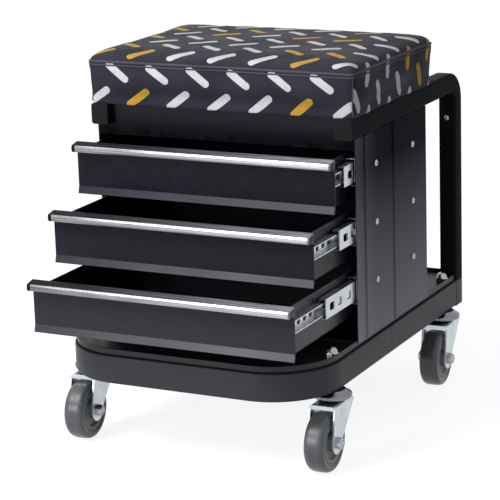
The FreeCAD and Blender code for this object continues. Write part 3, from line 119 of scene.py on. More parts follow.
class Graph:
    """Adds nodes to one node tree and links them."""

    def __init__(self, tree: bpy.types.NodeTree) -> None:
        """Keeps the material's or group's node tree."""
        self.tree = tree

    def add(self, kind: str, inputs: Optional[dict[Union[str, int], Value]] = None, **settings: object
            ) -> Node:
        """Adds a node.

        Args:
            kind: the node's type name.
            inputs: values or sockets by input name or number.
            **settings: properties of the node.

        Returns:
            The new node.
        """
        node = self.tree.nodes.new(kind)
        for key, setting in settings.items():
            setattr(node, key, setting)
        for key, value in (inputs or {}).items():
            self.feed(node.inputs[key], value)
        return node

    def feed(self, socket: Socket, value: Value) -> None:
        """Links a socket or sets its value.

        Args:
            socket: the input to feed.
            value: a socket to link from, or a plain value.
        """
        if isinstance(value, bpy.types.NodeSocket):
            self.tree.links.new(value, socket)
        elif socket.type == "RGBA":
            socket.default_value = (*value[:3], 1.0)
        else:
            socket.default_value = value

    def math(self, operation: str, first: Value, second: Value = 0.0) -> Socket:
        """Result of a Math node on two values."""
        return self.add("ShaderNodeMath", {0: first, 1: second}, operation=operation).outputs[0]

    def times(self, first: Value, *others: Value) -> Socket:
        """Product of two or more values."""
        return reduce(lambda product, value: self.math("MULTIPLY", product, value), others, first)

    def plus(self, first: Value, second: Value) -> Socket:
        """Sum of two values."""
        return self.math("ADD", first, second)

    def less(self, first: Value, second: Value) -> Socket:
        """First value less the second."""
        return self.math("SUBTRACT", first, second)

    def mix(self, share: Value, first: Value, second: Value) -> Socket:
        """Colour mixed from the first to the second by a share."""
        return self.add("ShaderNodeMix", {0: share, 6: first, 7: second}, data_type="RGBA").outputs[2]

    def spread(self, value: Value, low: Value, high: Value, to_low: Value = 0.0, to_high: Value = 1.0
               ) -> Socket:
        """Value carried from one range to another and clamped."""
        return self.add("ShaderNodeMapRange", {0: value, 1: low, 2: high, 3: to_low, 4: to_high}).outputs[0]

    def noise(self, vector: Value, scale: Value, detail: float = 2.0) -> Socket:
        """Noise between 0 and 1."""
        return self.add("ShaderNodeTexNoise", {"Vector": vector, "Scale": scale, "Detail": detail}).outputs[0]

    def patches(self, vector: Value, scale: Value, detail: float, low: float, high: float,
                to_low: Value = 0.0, to_high: Value = 1.0) -> Socket:
        """Noise in soft patches: what lies between two limits is carried to another range."""
        return self.spread(self.noise(vector, scale, detail), low, high, to_low, to_high)

    def place(self) -> Socket:
        """Object coordinates, in metres."""
        return self.add("ShaderNodeTexCoord").outputs["Object"]

    def part(self, vector: Value, axis: int) -> Socket:
        """X, Y or Z of a vector, by the axis's number."""
        return self.add("ShaderNodeSeparateXYZ", {0: vector}).outputs[axis]

    def facing_up(self) -> Socket:
        """Z of the surface's normal."""
        return self.part(self.add("ShaderNodeNewGeometry").outputs["Normal"], 2)

    def stretched(self, vector: Value, scale: Triple) -> Socket:
        """Vector scaled by axis, so that a texture on it is drawn out along the small ones."""
        return self.add("ShaderNodeMapping", {"Vector": vector, "Scale": scale}).outputs[0]

    def seen(self) -> Socket:
        """One for rays from the camera, a mirror or glass, and zero for all others.

        Returns:
            The mask.
        """
        ray = self.add("ShaderNodeLightPath").outputs
        direct = self.math("MAXIMUM", ray["Is Camera Ray"], ray["Is Transmission Ray"])
        return self.math("MAXIMUM", direct, ray["Is Glossy Ray"])


class GroupName(Enum):
    """Effects that several finishes share."""

    ORANGE_PEEL = "Orange peel"
    PATINA = "Patina"
    DUST = "Dust veil"
    EDGE_SHEEN = "Edge sheen"
    HIDE_GRAIN = "Hide grain"


class SharedEffects:
    """Builds each shared node group once and places it in materials."""

    def __init__(self) -> None:
        """Starts with no groups built."""
        self.built: dict[GroupName, bpy.types.NodeTree] = {}
        self.makers: dict[GroupName, Callable[[Graph], None]] = {
            GroupName.ORANGE_PEEL: self.orange_peel,
            GroupName.PATINA: self.patina,
            GroupName.DUST: self.dust,
            GroupName.EDGE_SHEEN: self.edge_sheen,
            GroupName.HIDE_GRAIN: self.hide_grain,
        }

    def use(self, graph: Graph, name: GroupName, vector: Socket, **inputs: Value) -> Socket:
        """Places a group in a material, and builds it when it is first used.

        Args:
            graph: the material's graph.
            name: which effect.
            vector: coordinates for its textures.
            **inputs: its other values by name.

        Returns:
            The group's output.
        """
        if name not in self.built:
            self.built[name] = bpy.data.node_groups.new(name.value, "ShaderNodeTree")
            self.makers[name](Graph(self.built[name]))
        node = graph.add("ShaderNodeGroup", {"Vector": vector, **inputs}, node_tree=self.built[name])
        return node.outputs[0]

    @staticmethod
    def ends(graph: Graph, output: str, kind: str = "Float", **inputs: Value
             ) -> tuple[bpy.types.NodeOutputs, Socket]:
        """Gives a group its sockets: a vector, then a number or a colour for each starting value.

        Args:
            graph: the group's graph.
            output: the output's name.
            kind: the output's type.
            **inputs: starting values by name.

        Returns:
            The sockets that hold what the group is given, and the one to feed its result to.
        """
        sockets = graph.tree.interface
        sockets.new_socket("Vector", in_out="INPUT", socket_type="NodeSocketVector")
        for name, value in inputs.items():
            given = "Color" if isinstance(value, tuple) else "Float"
            made = sockets.new_socket(name, in_out="INPUT", socket_type=f"NodeSocket{given}")
            made.default_value = value
        sockets.new_socket(output, in_out="OUTPUT", socket_type=f"NodeSocket{kind}")
        return graph.add("NodeGroupInput").outputs, graph.add("NodeGroupOutput").inputs[0]

    def orange_peel(self, graph: Graph) -> None:
        """Height of sprayed paint: a fine noise on top of a wider one.

        Args:
            graph: the group's graph.
        """
        given, result = self.ends(graph, "Height", Scale=500.0, Wide=0.4)
        fine = graph.noise(given["Vector"], given["Scale"], 3.0)
        wide = graph.noise(given["Vector"], graph.times(given["Scale"], 0.12), 1.0)
        graph.feed(result, graph.plus(fine, graph.times(wide, given["Wide"])))

    def patina(self, graph: Graph) -> None:
        """A value that wanders between low and high in soft patches.

        Args:
            graph: the group's graph.
        """
        given, result = self.ends(graph, "Value", Scale=20.0, Low=0.3, High=0.5)
        graph.feed(result, graph.patches(given["Vector"], given["Scale"], 4.0, 0.32, 0.68, given["Low"],
                                         given["High"]))

    def dust(self, graph: Graph) -> None:
        """Pale dust that settles on what faces up, in broken patches.

        Args:
            graph: the group's graph.
        """
        given, result = self.ends(graph, "Color", "Color", Color=(0, 0, 0, 1), Tint=(0.3, 0.29, 0.33, 1),
                                  Amount=0.1)
        settled = graph.spread(graph.facing_up(), 0.2, 0.95)
        patches = graph.patches(given["Vector"], 35.0, 6.0, 0.35, 0.75)
        share = graph.times(settled, patches, given["Amount"])
        graph.feed(result, graph.mix(share, given["Color"], given["Tint"]))

    def edge_sheen(self, graph: Graph) -> None:
        """Mask of worn edges: where the surface is convex, broken up by noise.

        Args:
            graph: the group's graph.
        """
        given, result = self.ends(graph, "Mask", Amount=0.5)
        convex = graph.spread(graph.add("ShaderNodeNewGeometry").outputs["Pointiness"], 0.515, 0.6)
        patches = graph.patches(given["Vector"], 90.0, 4.0, 0.35, 0.65)
        graph.feed(result, graph.times(convex, patches, given["Amount"]))

    def hide_grain(self, graph: Graph) -> None:
        """Height of embossed vinyl: small pebbles from cells, softened by noise.

        Args:
            graph: the group's graph.
        """
        given, result = self.ends(graph, "Height", Scale=600.0)
        cells = graph.add("ShaderNodeTexVoronoi", {"Vector": given["Vector"], "Scale": given["Scale"]})
        pebbles = graph.spread(cells.outputs["Distance"], 0.0, 0.7, 1.0, 0.0)
        soft = graph.patches(given["Vector"], graph.times(given["Scale"], 0.4), 3.0, 0.2, 0.8, 0.5, 1.0)
        graph.feed(result, graph.times(pebbles, soft))


EFFECTS = SharedEffects()


def shade(colour: Colour, factor: float) -> Colour:
    """Colour made darker or lighter by a factor."""
    return tuple(factor * c for c in colour)


@dataclass(frozen=True)
class Finish:
    """A surface finish. Each kind paints its own material, which is made once."""

    name: str
    slot: str

    def material(self) -> bpy.types.Material:
        """The finish's material, built when it is first asked for.

        Returns:
            The material.
        """
        found = bpy.data.materials.get(self.name)
        if found:
            return found
        made = bpy.data.materials.new(self.name)
        made.use_nodes = True
        self.paint(Graph(made.node_tree), made.node_tree.nodes["Principled BSDF"])
        return made

    def paint(self, graph: Graph, shader: Node) -> None:
        """Fills the Principled shader. Each kind of finish has its own."""
        raise NotImplementedError

    @staticmethod
    def bump(graph: Graph, shader: Node, height: Socket, distance: float, strength: float = 1.0) -> None:
        """Feeds a height to the shader's normal.

        Args:
            graph: the material's graph.
            shader: its Principled shader.
            height: the height to use.
            distance: depth of the relief, in metres.
            strength: how strongly it counts.
        """
        node = graph.add("ShaderNodeBump", {"Height": height, "Distance": distance, "Strength": strength})
        graph.feed(shader.inputs["Normal"], node.outputs[0])

    @staticmethod
    def roughen(graph: Graph, shader: Node, place: Socket, scale: float, low: float, high: float) -> None:
        """Feeds the shader a roughness that wanders in patches.

        Args:
            graph: the material's graph.
            shader: its Principled shader.
            place: object coordinates.
            scale: scale of the patches.
            low: lowest roughness.
            high: highest roughness.
        """
        rough = EFFECTS.use(graph, GroupName.PATINA, place, Scale=scale, Low=low, High=high)
        graph.feed(shader.inputs["Roughness"], rough)


@dataclass(frozen=True)
class PowderCoat(Finish):
    """Black powder coat with a fine orange peel, glossier towards its foot and front, with a painted pale
    sheen.

    The shine and the painted sheen grow from shine_top down to shine_foot, and the shine once more from the
    middle to the front. The sheen is a paler, lilac-grey colour that stands in for reflected light. On faces
    that lean up a painted highlight grows towards the right.
    """

    colour: Colour = (0.0135, 0.013, 0.018)
    low: float = 0.32
    high: float = 0.44
    gloss: float = 0.004
    shine: float = 0.46
    shine_top: float = 123.8 * MM
    shine_foot: float = 121.8 * MM
    shine_front: float = 0.0
    front: float = -77 * MM
    middle: float = -15 * MM
    painted_sheen: float = 0.22
    ledge_highlight: float = 0.0
    dust: float = 0.02
    painted_sheen_colour: Colour = (0.135, 0.131, 0.17)

    def paint(self, graph: Graph, shader: Node) -> None:
        """Black with soft patches, pale worn edges, a little dust and a painted sheen.

        Args:
            graph: the material's graph.
            shader: its Principled shader.
        """
        place = graph.place()
        across, along, height = (graph.part(place, axis) for axis in range(3))
        worn = EFFECTS.use(graph, GroupName.EDGE_SHEEN, place, Amount=0.5)
        tint = graph.mix(graph.patches(place, 6.0, 2.0, 0.3, 0.7), self.colour, shade(self.colour, 1.35))
        edge = tuple(c + 0.012 for c in shade(self.colour, 3))
        near_foot = graph.spread(height, self.shine_top, self.shine_foot)
        ahead = graph.spread(along, self.front, self.middle, self.shine_front, 0.0)
        up = graph.facing_up()
        # Painted sheen towards the foot, and a painted highlight on up-leaning faces that grows to the right.
        lit_ledge_mask = graph.times(graph.spread(up, 0.08, 0.3), graph.spread(up, 0.9, 0.7),
                              graph.spread(across, -PULL_HALF, PULL_HALF, 0.2, 1.0))
        painted_sheen = graph.math("MAXIMUM", graph.times(near_foot, self.painted_sheen), graph.times(lit_ledge_mask, self.ledge_highlight))
        colour = graph.mix(painted_sheen, graph.mix(worn, tint, edge), self.painted_sheen_colour)
        graph.feed(shader.inputs["Base Color"],
                   EFFECTS.use(graph, GroupName.DUST, place, Color=colour, Amount=self.dust))
        graph.feed(shader.inputs["Coat Weight"], graph.plus(graph.times(near_foot, self.shine), ahead))
        shader.inputs["Coat Roughness"].default_value = self.high
        self.roughen(graph, shader, place, 14.0, self.low, self.high)
        shader.inputs["Specular IOR Level"].default_value = self.gloss
        self.bump(graph, shader, EFFECTS.use(graph, GroupName.ORANGE_PEEL, place, Scale=700.0), 0.06 * MM)


@dataclass(frozen=True)
class CapPaint(Finish):
    """Black top of a pull, with a pale streaked painted reflection that grows towards its right end."""

    colour: Colour = (0.006, 0.006, 0.009)
    pale: Colour = (0.5, 0.5, 0.58)

    def paint(self, graph: Graph, shader: Node) -> None:
        """Share of the pale painted reflection grows with the square of the place along the pull, broken by
        streaks.

        Args:
            graph: the material's graph.
            shader: its Principled shader.
        """
        place = graph.place()
        share = graph.spread(graph.part(place, 0), -PULL_HALF, PULL_HALF, 0.1, 0.95)
        streaks = graph.patches(graph.stretched(place, (0.04, 1.0, 1.0)), 520.0, 3.0, 0.35, 0.65, 0.35, 1.0)
        # Painted reflection: the pale colour stands in for light that the cap's top mirrors, more of it
        # towards the right.
        painted_reflection = graph.times(share, share, streaks)
        graph.feed(shader.inputs["Base Color"], graph.mix(painted_reflection, self.colour, self.pale))
        graph.feed(shader.inputs["Roughness"], graph.spread(streaks, 0.35, 1.0, 0.4, 0.3))
        shader.inputs["Specular IOR Level"].default_value = 0.03
        self.bump(graph, shader, streaks, 0.04 * MM, 0.5)


@dataclass(frozen=True)
class ZincPlate(Finish):
    """Bright zinc plate with a cloudy spangle and fine scratches."""

    colour: Colour = (0.56, 0.62, 0.66)
    low: float = 0.2
    high: float = 0.38

    def paint(self, graph: Graph, shader: Node) -> None:
        """Pale metal whose roughness and tint change in clouds.

        Args:
            graph: the material's graph.
            shader: its Principled shader.
        """
        place = graph.place()
        clouds = graph.patches(place, 60.0, 5.0, 0.3, 0.7)
        graph.feed(shader.inputs["Base Color"], graph.mix(clouds, shade(self.colour, 0.82), self.colour))
        shader.inputs["Metallic"].default_value = 1.0
        self.roughen(graph, shader, place, 110.0, self.low, self.high)
        scratches = graph.noise(graph.stretched(place, (1.0, 0.05, 1.0)), 1500.0, 2.0)
        self.bump(graph, shader, scratches, 0.03 * MM, 0.6)


@dataclass(frozen=True)
class BrushedAluminium(Finish):
    """Aluminium drawn along the drawer, with fine lines and broader streaks of painted shade that fade to the
    right.
    """

    colour: Colour = (0.58, 0.58, 0.625)

    def paint(self, graph: Graph, shader: Node) -> None:
        """Long fine lines along X in the colour, the roughness and the relief.

        Args:
            graph: the material's graph.
            shader: its Principled shader.
        """
        place = graph.place()
        lines = graph.noise(graph.stretched(place, (0.02, 1.0, 1.0)), 2600.0, 3.0)
        drawn = graph.mix(graph.spread(lines, 0.3, 0.7), shade(self.colour, 0.86), self.colour)
        # Painted shade: the streaks darken the metal most at the left end, standing in for darker
        # surroundings mirrored there.
        painted_left_shade = graph.spread(graph.part(place, 0), -PULL_HALF, PULL_HALF, 1.0, 0.3)
        streaks = graph.patches(graph.stretched(place, (0.05, 1.0, 1.0)), 420.0, 2.0, 0.35, 0.65, 0.7, 1.0)
        colour = graph.mix(graph.times(painted_left_shade, streaks), drawn, shade(self.colour, 0.2))
        graph.feed(shader.inputs["Base Color"], colour)
        graph.feed(shader.inputs["Roughness"], graph.spread(lines, 0.25, 0.75, 0.18, 0.34))
        shader.inputs["Metallic"].default_value = 1.0
        self.bump(graph, shader, lines, 0.04 * MM, 0.5)


@dataclass(frozen=True)
class Rubber(Finish):
    """Grey tread rubber, dull, with a faint bloom."""

    colour: Colour = (0.098, 0.1, 0.111)

    def paint(self, graph: Graph, shader: Node) -> None:
        """Grey with cloudy bloom, fine pits and dust.

        Args:
            graph: the material's graph.
            shader: its Principled shader.
        """
        place = graph.place()
        bloom = graph.patches(place, 40.0, 5.0, 0.3, 0.75)
        colour = graph.mix(bloom, shade(self.colour, 0.8), shade(self.colour, 1.25))
        dusty = EFFECTS.use(graph, GroupName.DUST, place, Color=colour, Amount=0.12)
        graph.feed(shader.inputs["Base Color"], dusty)
        self.roughen(graph, shader, place, 50.0, 0.24, 0.36)
        pits = EFFECTS.use(graph, GroupName.ORANGE_PEEL, place, Scale=1100.0, Wide=1.2)
        self.bump(graph, shader, pits, 0.12 * MM)


@dataclass(frozen=True)
class MouldedPlastic(Finish):
    """Moulded plastic with a fine spark-eroded texture."""

    colour: Colour = (0.24, 0.255, 0.26)
    rough: float = 0.45
    gloss: float = 0.5

    def paint(self, graph: Graph, shader: Node) -> None:
        """Even colour with small flow marks and a fine texture.

        Args:
            graph: the material's graph.
            shader: its Principled shader.
        """
        place = graph.place()
        flow = graph.patches(place, 25.0, 3.0, 0.3, 0.7)
        colour = graph.mix(flow, shade(self.colour, 0.88), shade(self.colour, 1.1))
        worn = EFFECTS.use(graph, GroupName.EDGE_SHEEN, place, Amount=0.4)
        graph.feed(shader.inputs["Base Color"], graph.mix(worn, colour, shade(self.colour, 1.8)))
        self.roughen(graph, shader, place, 30.0, self.rough - 0.06, self.rough + 0.08)
        shader.inputs["Specular IOR Level"].default_value = self.gloss
        self.bump(graph, shader, EFFECTS.use(graph, GroupName.ORANGE_PEEL, place, Scale=1600.0), 0.06 * MM)


@dataclass(frozen=True)
class Plywood(Finish):
    """Raw plywood with grain along the seat and glue lines at the edge."""

    ply: float = 1.8 * MM

    def paint(self, graph: Graph, shader: Node) -> None:
        """Grain from noise stretched along X, and plies from bands up the edge.

        Args:
            graph: the material's graph.
            shader: its Principled shader.
        """
        place = graph.place()
        grain = graph.noise(graph.stretched(place, (0.06, 1.0, 1.0)), 240.0, 6.0)
        colour = graph.mix(graph.spread(grain, 0.3, 0.7), (0.3, 0.19, 0.1), (0.5, 0.36, 0.22))
        plies = graph.math("PINGPONG", graph.times(graph.part(place, 2), 1 / self.ply), 0.5)
        dark = graph.spread(plies, 0.0, 0.12, 0.5, 0.0)
        graph.feed(shader.inputs["Base Color"], graph.mix(dark, colour, (0.12, 0.07, 0.04)))
        graph.feed(shader.inputs["Roughness"], graph.spread(grain, 0.3, 0.7, 0.62, 0.8))
        self.bump(graph, shader, grain, 0.2 * MM)


@dataclass(frozen=True)
class Vinyl(Finish):
    """Black vinyl with an embossed grain."""

    colour: Colour = (0.036, 0.037, 0.051)

    def cover(self, graph: Graph) -> Socket:
        """Colour of the cover: black with faint cloudy sheen."""
        clouds = graph.patches(graph.place(), 12.0, 4.0, 0.3, 0.7)
        return graph.mix(clouds, shade(self.colour, 0.8), shade(self.colour, 1.2))

    def paint(self, graph: Graph, shader: Node) -> None:
        """Grained cover with dust on top.

        Args:
            graph: the material's graph.
            shader: its Principled shader.
        """
        place = graph.place()
        dusty = EFFECTS.use(graph, GroupName.DUST, place, Color=self.cover(graph), Amount=0.12)
        graph.feed(shader.inputs["Base Color"], dusty)
        self.roughen(graph, shader, place, 18.0, 0.42, 0.56)
        shader.inputs["Specular IOR Level"].default_value = 0.02
        grain = EFFECTS.use(graph, GroupName.HIDE_GRAIN, place, Scale=520.0)
        creases = graph.patches(place, 30.0, 2.0, 0.3, 0.7)
        self.bump(graph, shader, graph.plus(grain, graph.times(creases, 1.5)), 0.16 * MM)


@dataclass(frozen=True)
class PrintedVinyl(Vinyl):
    """Vinyl with a printed tread-plate pattern: short round-ended bars that lean left and right in turn."""

    across: float = 52 * MM
    along: float = 30 * MM
    bar_half: float = 13 * MM
    bar_round: float = 4.4 * MM
    blur: float = 0.2 * MM
    lean: float = 35.0
    amber_share: float = 0.34
    white: Colour = (0.72, 0.72, 0.74)
    amber: Colour = (0.62, 0.36, 0.05)

    def cover(self, graph: Graph) -> Socket:
        """Black cover with the bars in white, and about every third of them in amber.

        Odd rows are shifted by half a cell. In each cell the place is turned by the lean, left or right by
        row, and a bar is where its distance from the bar's middle line is under the bar's round.

        Args:
            graph: the material's graph.

        Returns:
            The cover's colour.
        """
        base = super().cover(graph)
        flat = graph.add("ShaderNodeUVMap", uv_map="Cover").outputs[0]
        level = graph.math("DIVIDE", graph.part(flat, 1), self.along)
        row = graph.math("FLOOR", level)
        odd = graph.math("FLOORED_MODULO", row, 2.0)
        shifted = graph.plus(graph.math("DIVIDE", graph.part(flat, 0), self.across), graph.times(odd, 0.5))
        x = graph.times(graph.less(graph.math("FRACT", shifted), 0.5), self.across)
        y = graph.times(graph.less(graph.math("FRACT", level), 0.5), self.along)
        cosine, sine = math.cos(math.radians(self.lean)), math.sin(math.radians(self.lean))
        tilt = graph.times(graph.less(graph.times(odd, 2.0), 1.0), sine)
        along = graph.plus(graph.times(x, cosine), graph.times(y, tilt))
        out = graph.less(graph.times(y, cosine), graph.times(x, tilt))
        beyond = graph.math("MAXIMUM", graph.less(graph.math("ABSOLUTE", along), self.bar_half), 0.0)
        far = graph.math("SQRT", graph.plus(graph.times(beyond, beyond), graph.times(out, out)))
        inside = graph.spread(far, self.bar_round - self.blur, self.bar_round + self.blur, 1.0, 0.0)
        cell = graph.add("ShaderNodeCombineXYZ", {0: graph.math("FLOOR", shifted), 1: row}).outputs[0]
        chance = graph.add("ShaderNodeTexWhiteNoise", {"Vector": cell}).outputs["Value"]
        ink = graph.mix(graph.math("GREATER_THAN", chance, 1 - self.amber_share), self.white, self.amber)
        worn = graph.patches(graph.place(), 400.0, 3.0, 0.25, 0.5, 0.75, 1.0)
        return graph.mix(graph.times(inside, worn), base, ink)


@dataclass(frozen=True)
class FloorPaper(Finish):
    """Grey studio floor, which glows to white where a camera or a mirror sees it."""

    glow: float = 0.86

    def paint(self, graph: Graph, shader: Node) -> None:
        """Faintly clouded grey with the glow on top.

        Args:
            graph: the material's graph.
            shader: its Principled shader.
        """
        paper = graph.patches(graph.place(), 300.0, 3.0, 0.3, 0.7)
        graph.feed(shader.inputs["Base Color"], graph.mix(paper, (0.35, 0.35, 0.35), (0.37, 0.37, 0.37)))
        shader.inputs["Roughness"].default_value = 0.9
        shader.inputs["Specular IOR Level"].default_value = 0.1
        shader.inputs["Emission Strength"].default_value = 1.0
        glow = graph.mix(graph.seen(), (0.0, 0.0, 0.0), (self.glow,) * 3)
        graph.feed(shader.inputs["Emission Color"], glow)


class Finishes:
    """The finishes of this seat."""

    # Copies of the black paint, each with its own gloss and painted sheen, the header's growing towards its
    # top.
    frame_paint = PowderCoat("frame paint", "black_paint")
    tray_paint = PowderCoat("tray paint", "black_paint", (0.006, 0.006, 0.009), shine=0.66,
                            shine_top=200 * MM, shine_foot=190 * MM, painted_sheen=0.03)
    header_paint = PowderCoat("header paint", "black_paint", (0.003, 0.003, 0.005), shine=0.28,
                              shine_top=357 * MM, shine_foot=390 * MM, painted_sheen=0.07, dust=0.0)
    panel_paint = PowderCoat("cabinet paint", "black_paint", (0.009, 0.008, 0.016), shine=0.62,
                             shine_top=330 * MM, shine_foot=130 * MM, shine_front=0.3, painted_sheen=0.9,
                             painted_sheen_colour=(0.14, 0.136, 0.185))
    drawer_paint = PowderCoat("drawer paint", "black_paint", (0.0048, 0.0046, 0.0105), 0.28, 0.38, gloss=0.1,
                              shine=0.25, shine_top=270 * MM, shine_foot=170 * MM, painted_sheen=0.1, ledge_highlight=0.8,
                              painted_sheen_colour=(0.13, 0.128, 0.16))
    pull_cap = CapPaint("pull cap", "black_paint")
    pull_nose = BrushedAluminium("pull nose", "pull_aluminium")
    zinc = ZincPlate("zinc plate", "zinc_steel")
    slide_zinc = ZincPlate("slide zinc", "zinc_steel", (0.56, 0.58, 0.6), 0.24, 0.42)
    nut_zinc = ZincPlate("nut zinc", "zinc_steel", (0.4, 0.4, 0.42), 0.18, 0.3)
    raceway = ZincPlate("raceway steel", "zinc_steel", (0.2, 0.21, 0.235), 0.2, 0.32)
    tyre = Rubber("tyre rubber", "tyre_rubber")
    hub = MouldedPlastic("hub plastic", "hub_plastic")
    plug = MouldedPlastic("plug plastic", "plug_plastic", (0.006, 0.006, 0.0075), 0.5, 0.12)
    board = Plywood("seat board ply", "board_wood")
    cover = PrintedVinyl("printed vinyl", "cushion_vinyl")
    # The piping is a paler copy of the cover vinyl: its lighter colour is a painted highlight along the welts
    # and corner seams.
    piping = Vinyl("piping vinyl", "cushion_vinyl", (0.085, 0.085, 0.11))
    floor = FloorPaper("studio floor", "")


# Mesh tools


def unit(vectors: Array) -> Array:
    """One vector or an array of them, brought to length one."""
    return vectors / np.linalg.norm(vectors, axis=-1, keepdims=True)


def values(items: Sequence, name: str, width: int = 1, kind: type = np.int32) -> Array:
    """One attribute of every vertex, edge, loop or face.

    Args:
        items: the mesh's vertices, edges, loops or faces.
        name: the attribute's name.
        width: numbers per item.
        kind: type of the numbers.

    Returns:
        Array of shape (items,), or (items, width) for a width over one.
    """
    flat = np.zeros(len(items) * width, kind)
    items.foreach_get(name, flat)
    return flat.reshape(-1, width) if width > 1 else flat


def placed(name: str, data: bpy.types.ID) -> Object:
    """New object in the scene.

    Args:
        name: its name.
        data: its mesh, light or camera.

    Returns:
        The new object.
    """
    made = bpy.data.objects.new(name, data)
    bpy.context.scene.collection.objects.link(made)
    return made


class Surface:
    """Gathers grids of points into one mesh."""

    def __init__(self) -> None:
        """Starts empty."""
        self.points: list[Array] = []
        self.faces: list[list[int]] = []
        self.tags: list[int] = []
        self.count = 0

    def grid(self, points: Array, closed_u: bool = False, closed_v: bool = False, tag: Union[int, Array] = 0
             ) -> "Surface":
        """Adds a grid as four-sided faces.

        Each face joins a point to the next along both parameters. A closed parameter joins its last row to
        its first.

        Args:
            points: array of shape (rows, columns, 3).
            closed_u: whether the rows close.
            closed_v: whether the columns close.
            tag: material number of its faces, or one for each face.

        Returns:
            This surface.
        """
        rows, columns = points.shape[:2]
        index = np.arange(rows * columns).reshape(rows, columns) + self.count
        if closed_u:
            index = np.vstack([index, index[:1]])
        if closed_v:
            index = np.hstack([index, index[:, :1]])
        corners = [index[:-1, :-1], index[1:, :-1], index[1:, 1:], index[:-1, 1:]]
        quads = np.stack(corners, axis=-1).reshape(-1, 4)
        self.points.append(points.reshape(-1, 3))
        self.faces += quads.tolist()
        self.tags += np.broadcast_to(tag, len(quads)).tolist()
        self.count += rows * columns
        return self

    def cap(self, ring: Array, tag: int = 0) -> "Surface":
        """Closes a ring of points with one many-sided face.

        Args:
            ring: array of shape (points, 3).
            tag: material number of the face.

        Returns:
            This surface.
        """
        self.points.append(ring)
        self.faces.append(list(range(self.count, self.count + len(ring))))
        self.tags.append(tag)
        self.count += len(ring)
        return self

    def mesh(self, name: str) -> Mesh:
        """The mesh of all that was gathered.

        Args:
            name: its name.

        Returns:
            The new mesh.
        """
        mesh = bpy.data.meshes.new(name)
        mesh.from_pydata(np.vstack(self.points).tolist(), [], self.faces)
        mesh.polygons.foreach_set("material_index", self.tags)
        return mesh

    def piece(self, name: str, sharp: float, *finishes: Finish) -> Object:
        """The object of all that was gathered, smooth up to a sharp angle in degrees."""
        return Workshop.finish_mesh(name, self.mesh(name), sharp, *finishes)


class Workshop:
    """Turns meshes into finished pieces that ride on the frame."""

    @staticmethod
    def finish_mesh(name: str, mesh: Mesh, sharp: float, *finishes: Finish, from_cad: bool = False) -> Object:
        """Merges doubles and sets smoothing and finishes.

        A CAD node's mesh has its flat faces joined, and any other mesh has its faces turned outwards.

        Args:
            name: the piece's name.
            mesh: its mesh.
            sharp: angle in degrees over which an edge stays sharp.
            *finishes: one finish, or one for each material number.
            from_cad: whether the mesh is a CAD node's.

        Returns:
            The new object.
        """
        work = bmesh.new()
        work.from_mesh(mesh)
        bmesh.ops.remove_doubles(work, verts=work.verts, dist=MERGE)
        if from_cad:
            bmesh.ops.dissolve_limit(work, angle_limit=math.radians(FLAT), verts=work.verts, edges=work.edges)
        else:
            bmesh.ops.recalc_face_normals(work, faces=work.faces)
        work.to_mesh(mesh)
        work.free()
        mesh.polygons.foreach_set("use_smooth", np.ones(len(mesh.polygons), bool))
        mesh.set_sharp_from_angle(angle=math.radians(sharp))
        piece = placed(name, mesh)
        Workshop.dress(piece, *finishes)
        return piece

    @staticmethod
    def dress(piece: Object, *finishes: Finish) -> None:
        """Gives a piece its materials.

        Args:
            piece: the object.
            *finishes: one finish, or one for each material number.
        """
        numbers = values(piece.data.polygons, "material_index")
        piece.data.materials.clear()
        for finish in finishes:
            piece.data.materials.append(finish.material())
        piece.data.polygons.foreach_set("material_index", numbers)

    @staticmethod
    def stand_for(piece: Object, node: str) -> None:
        """The piece takes the place of a CAD node and rides with its body.

        Args:
            piece: the object.
            node: the node it stands for.
        """
        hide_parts(node)
        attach(piece, frame["nodes"][node]["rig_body"])
        log.info("%s stands for %s", piece.name, node)

    @staticmethod
    def keep(node: str, finish: Finish) -> None:
        """Dresses a CAD node as it is."""
        Workshop.dress(frame["nodes"][node], finish)
        log.info("%s kept", node)

    @staticmethod
    def bevel(piece: Object, width: float, segments: int, limit: float) -> bpy.types.Modifier:
        """Rounds a piece's sharp edges with a modifier.

        Args:
            piece: the object.
            width: width of the rounded edges, in metres.
            segments: steps across a rounded edge.
            limit: angle in degrees over which an edge is rounded.

        Returns:
            The modifier.
        """
        bevel = piece.modifiers.new("Rounded edges", "BEVEL")
        bevel.width = width
        bevel.segments = segments
        bevel.limit_method = "ANGLE"
        bevel.angle_limit = math.radians(limit)
        return bevel

    @staticmethod
    def soften(node: str, finish: Finish, width: float, segments: int = 2, limit: float = 30.0) -> None:
        """A copy of a CAD node with its flat faces joined and its edges rounded stands for it.

        Args:
            node: the node's name.
            finish: its finish.
            width: width of the rounded edges, in metres.
            segments: steps across a rounded edge.
            limit: angle in degrees over which an edge is rounded.
        """
        mesh = frame["nodes"][node].data.copy()
        piece = Workshop.finish_mesh(f"{node}_skin", mesh, limit, finish, from_cad=True)
        Workshop.bevel(piece, width, segments, limit)
        piece.modifiers.new("Flat faces", "WEIGHTED_NORMAL").keep_sharp = True
        Workshop.stand_for(piece, node)


def node_box(node: str) -> tuple[Array, Array]:
    """Lowest and highest corner of a CAD node."""
    low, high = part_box(node)
    return np.array(low), np.array(high)


def circle(steps: int) -> Array:
    """Points on the unit circle, shape (steps, 2)."""
    angle = np.linspace(0, 2 * math.pi, steps, endpoint=False)
    return np.stack([np.cos(angle), np.sin(angle)], -1)


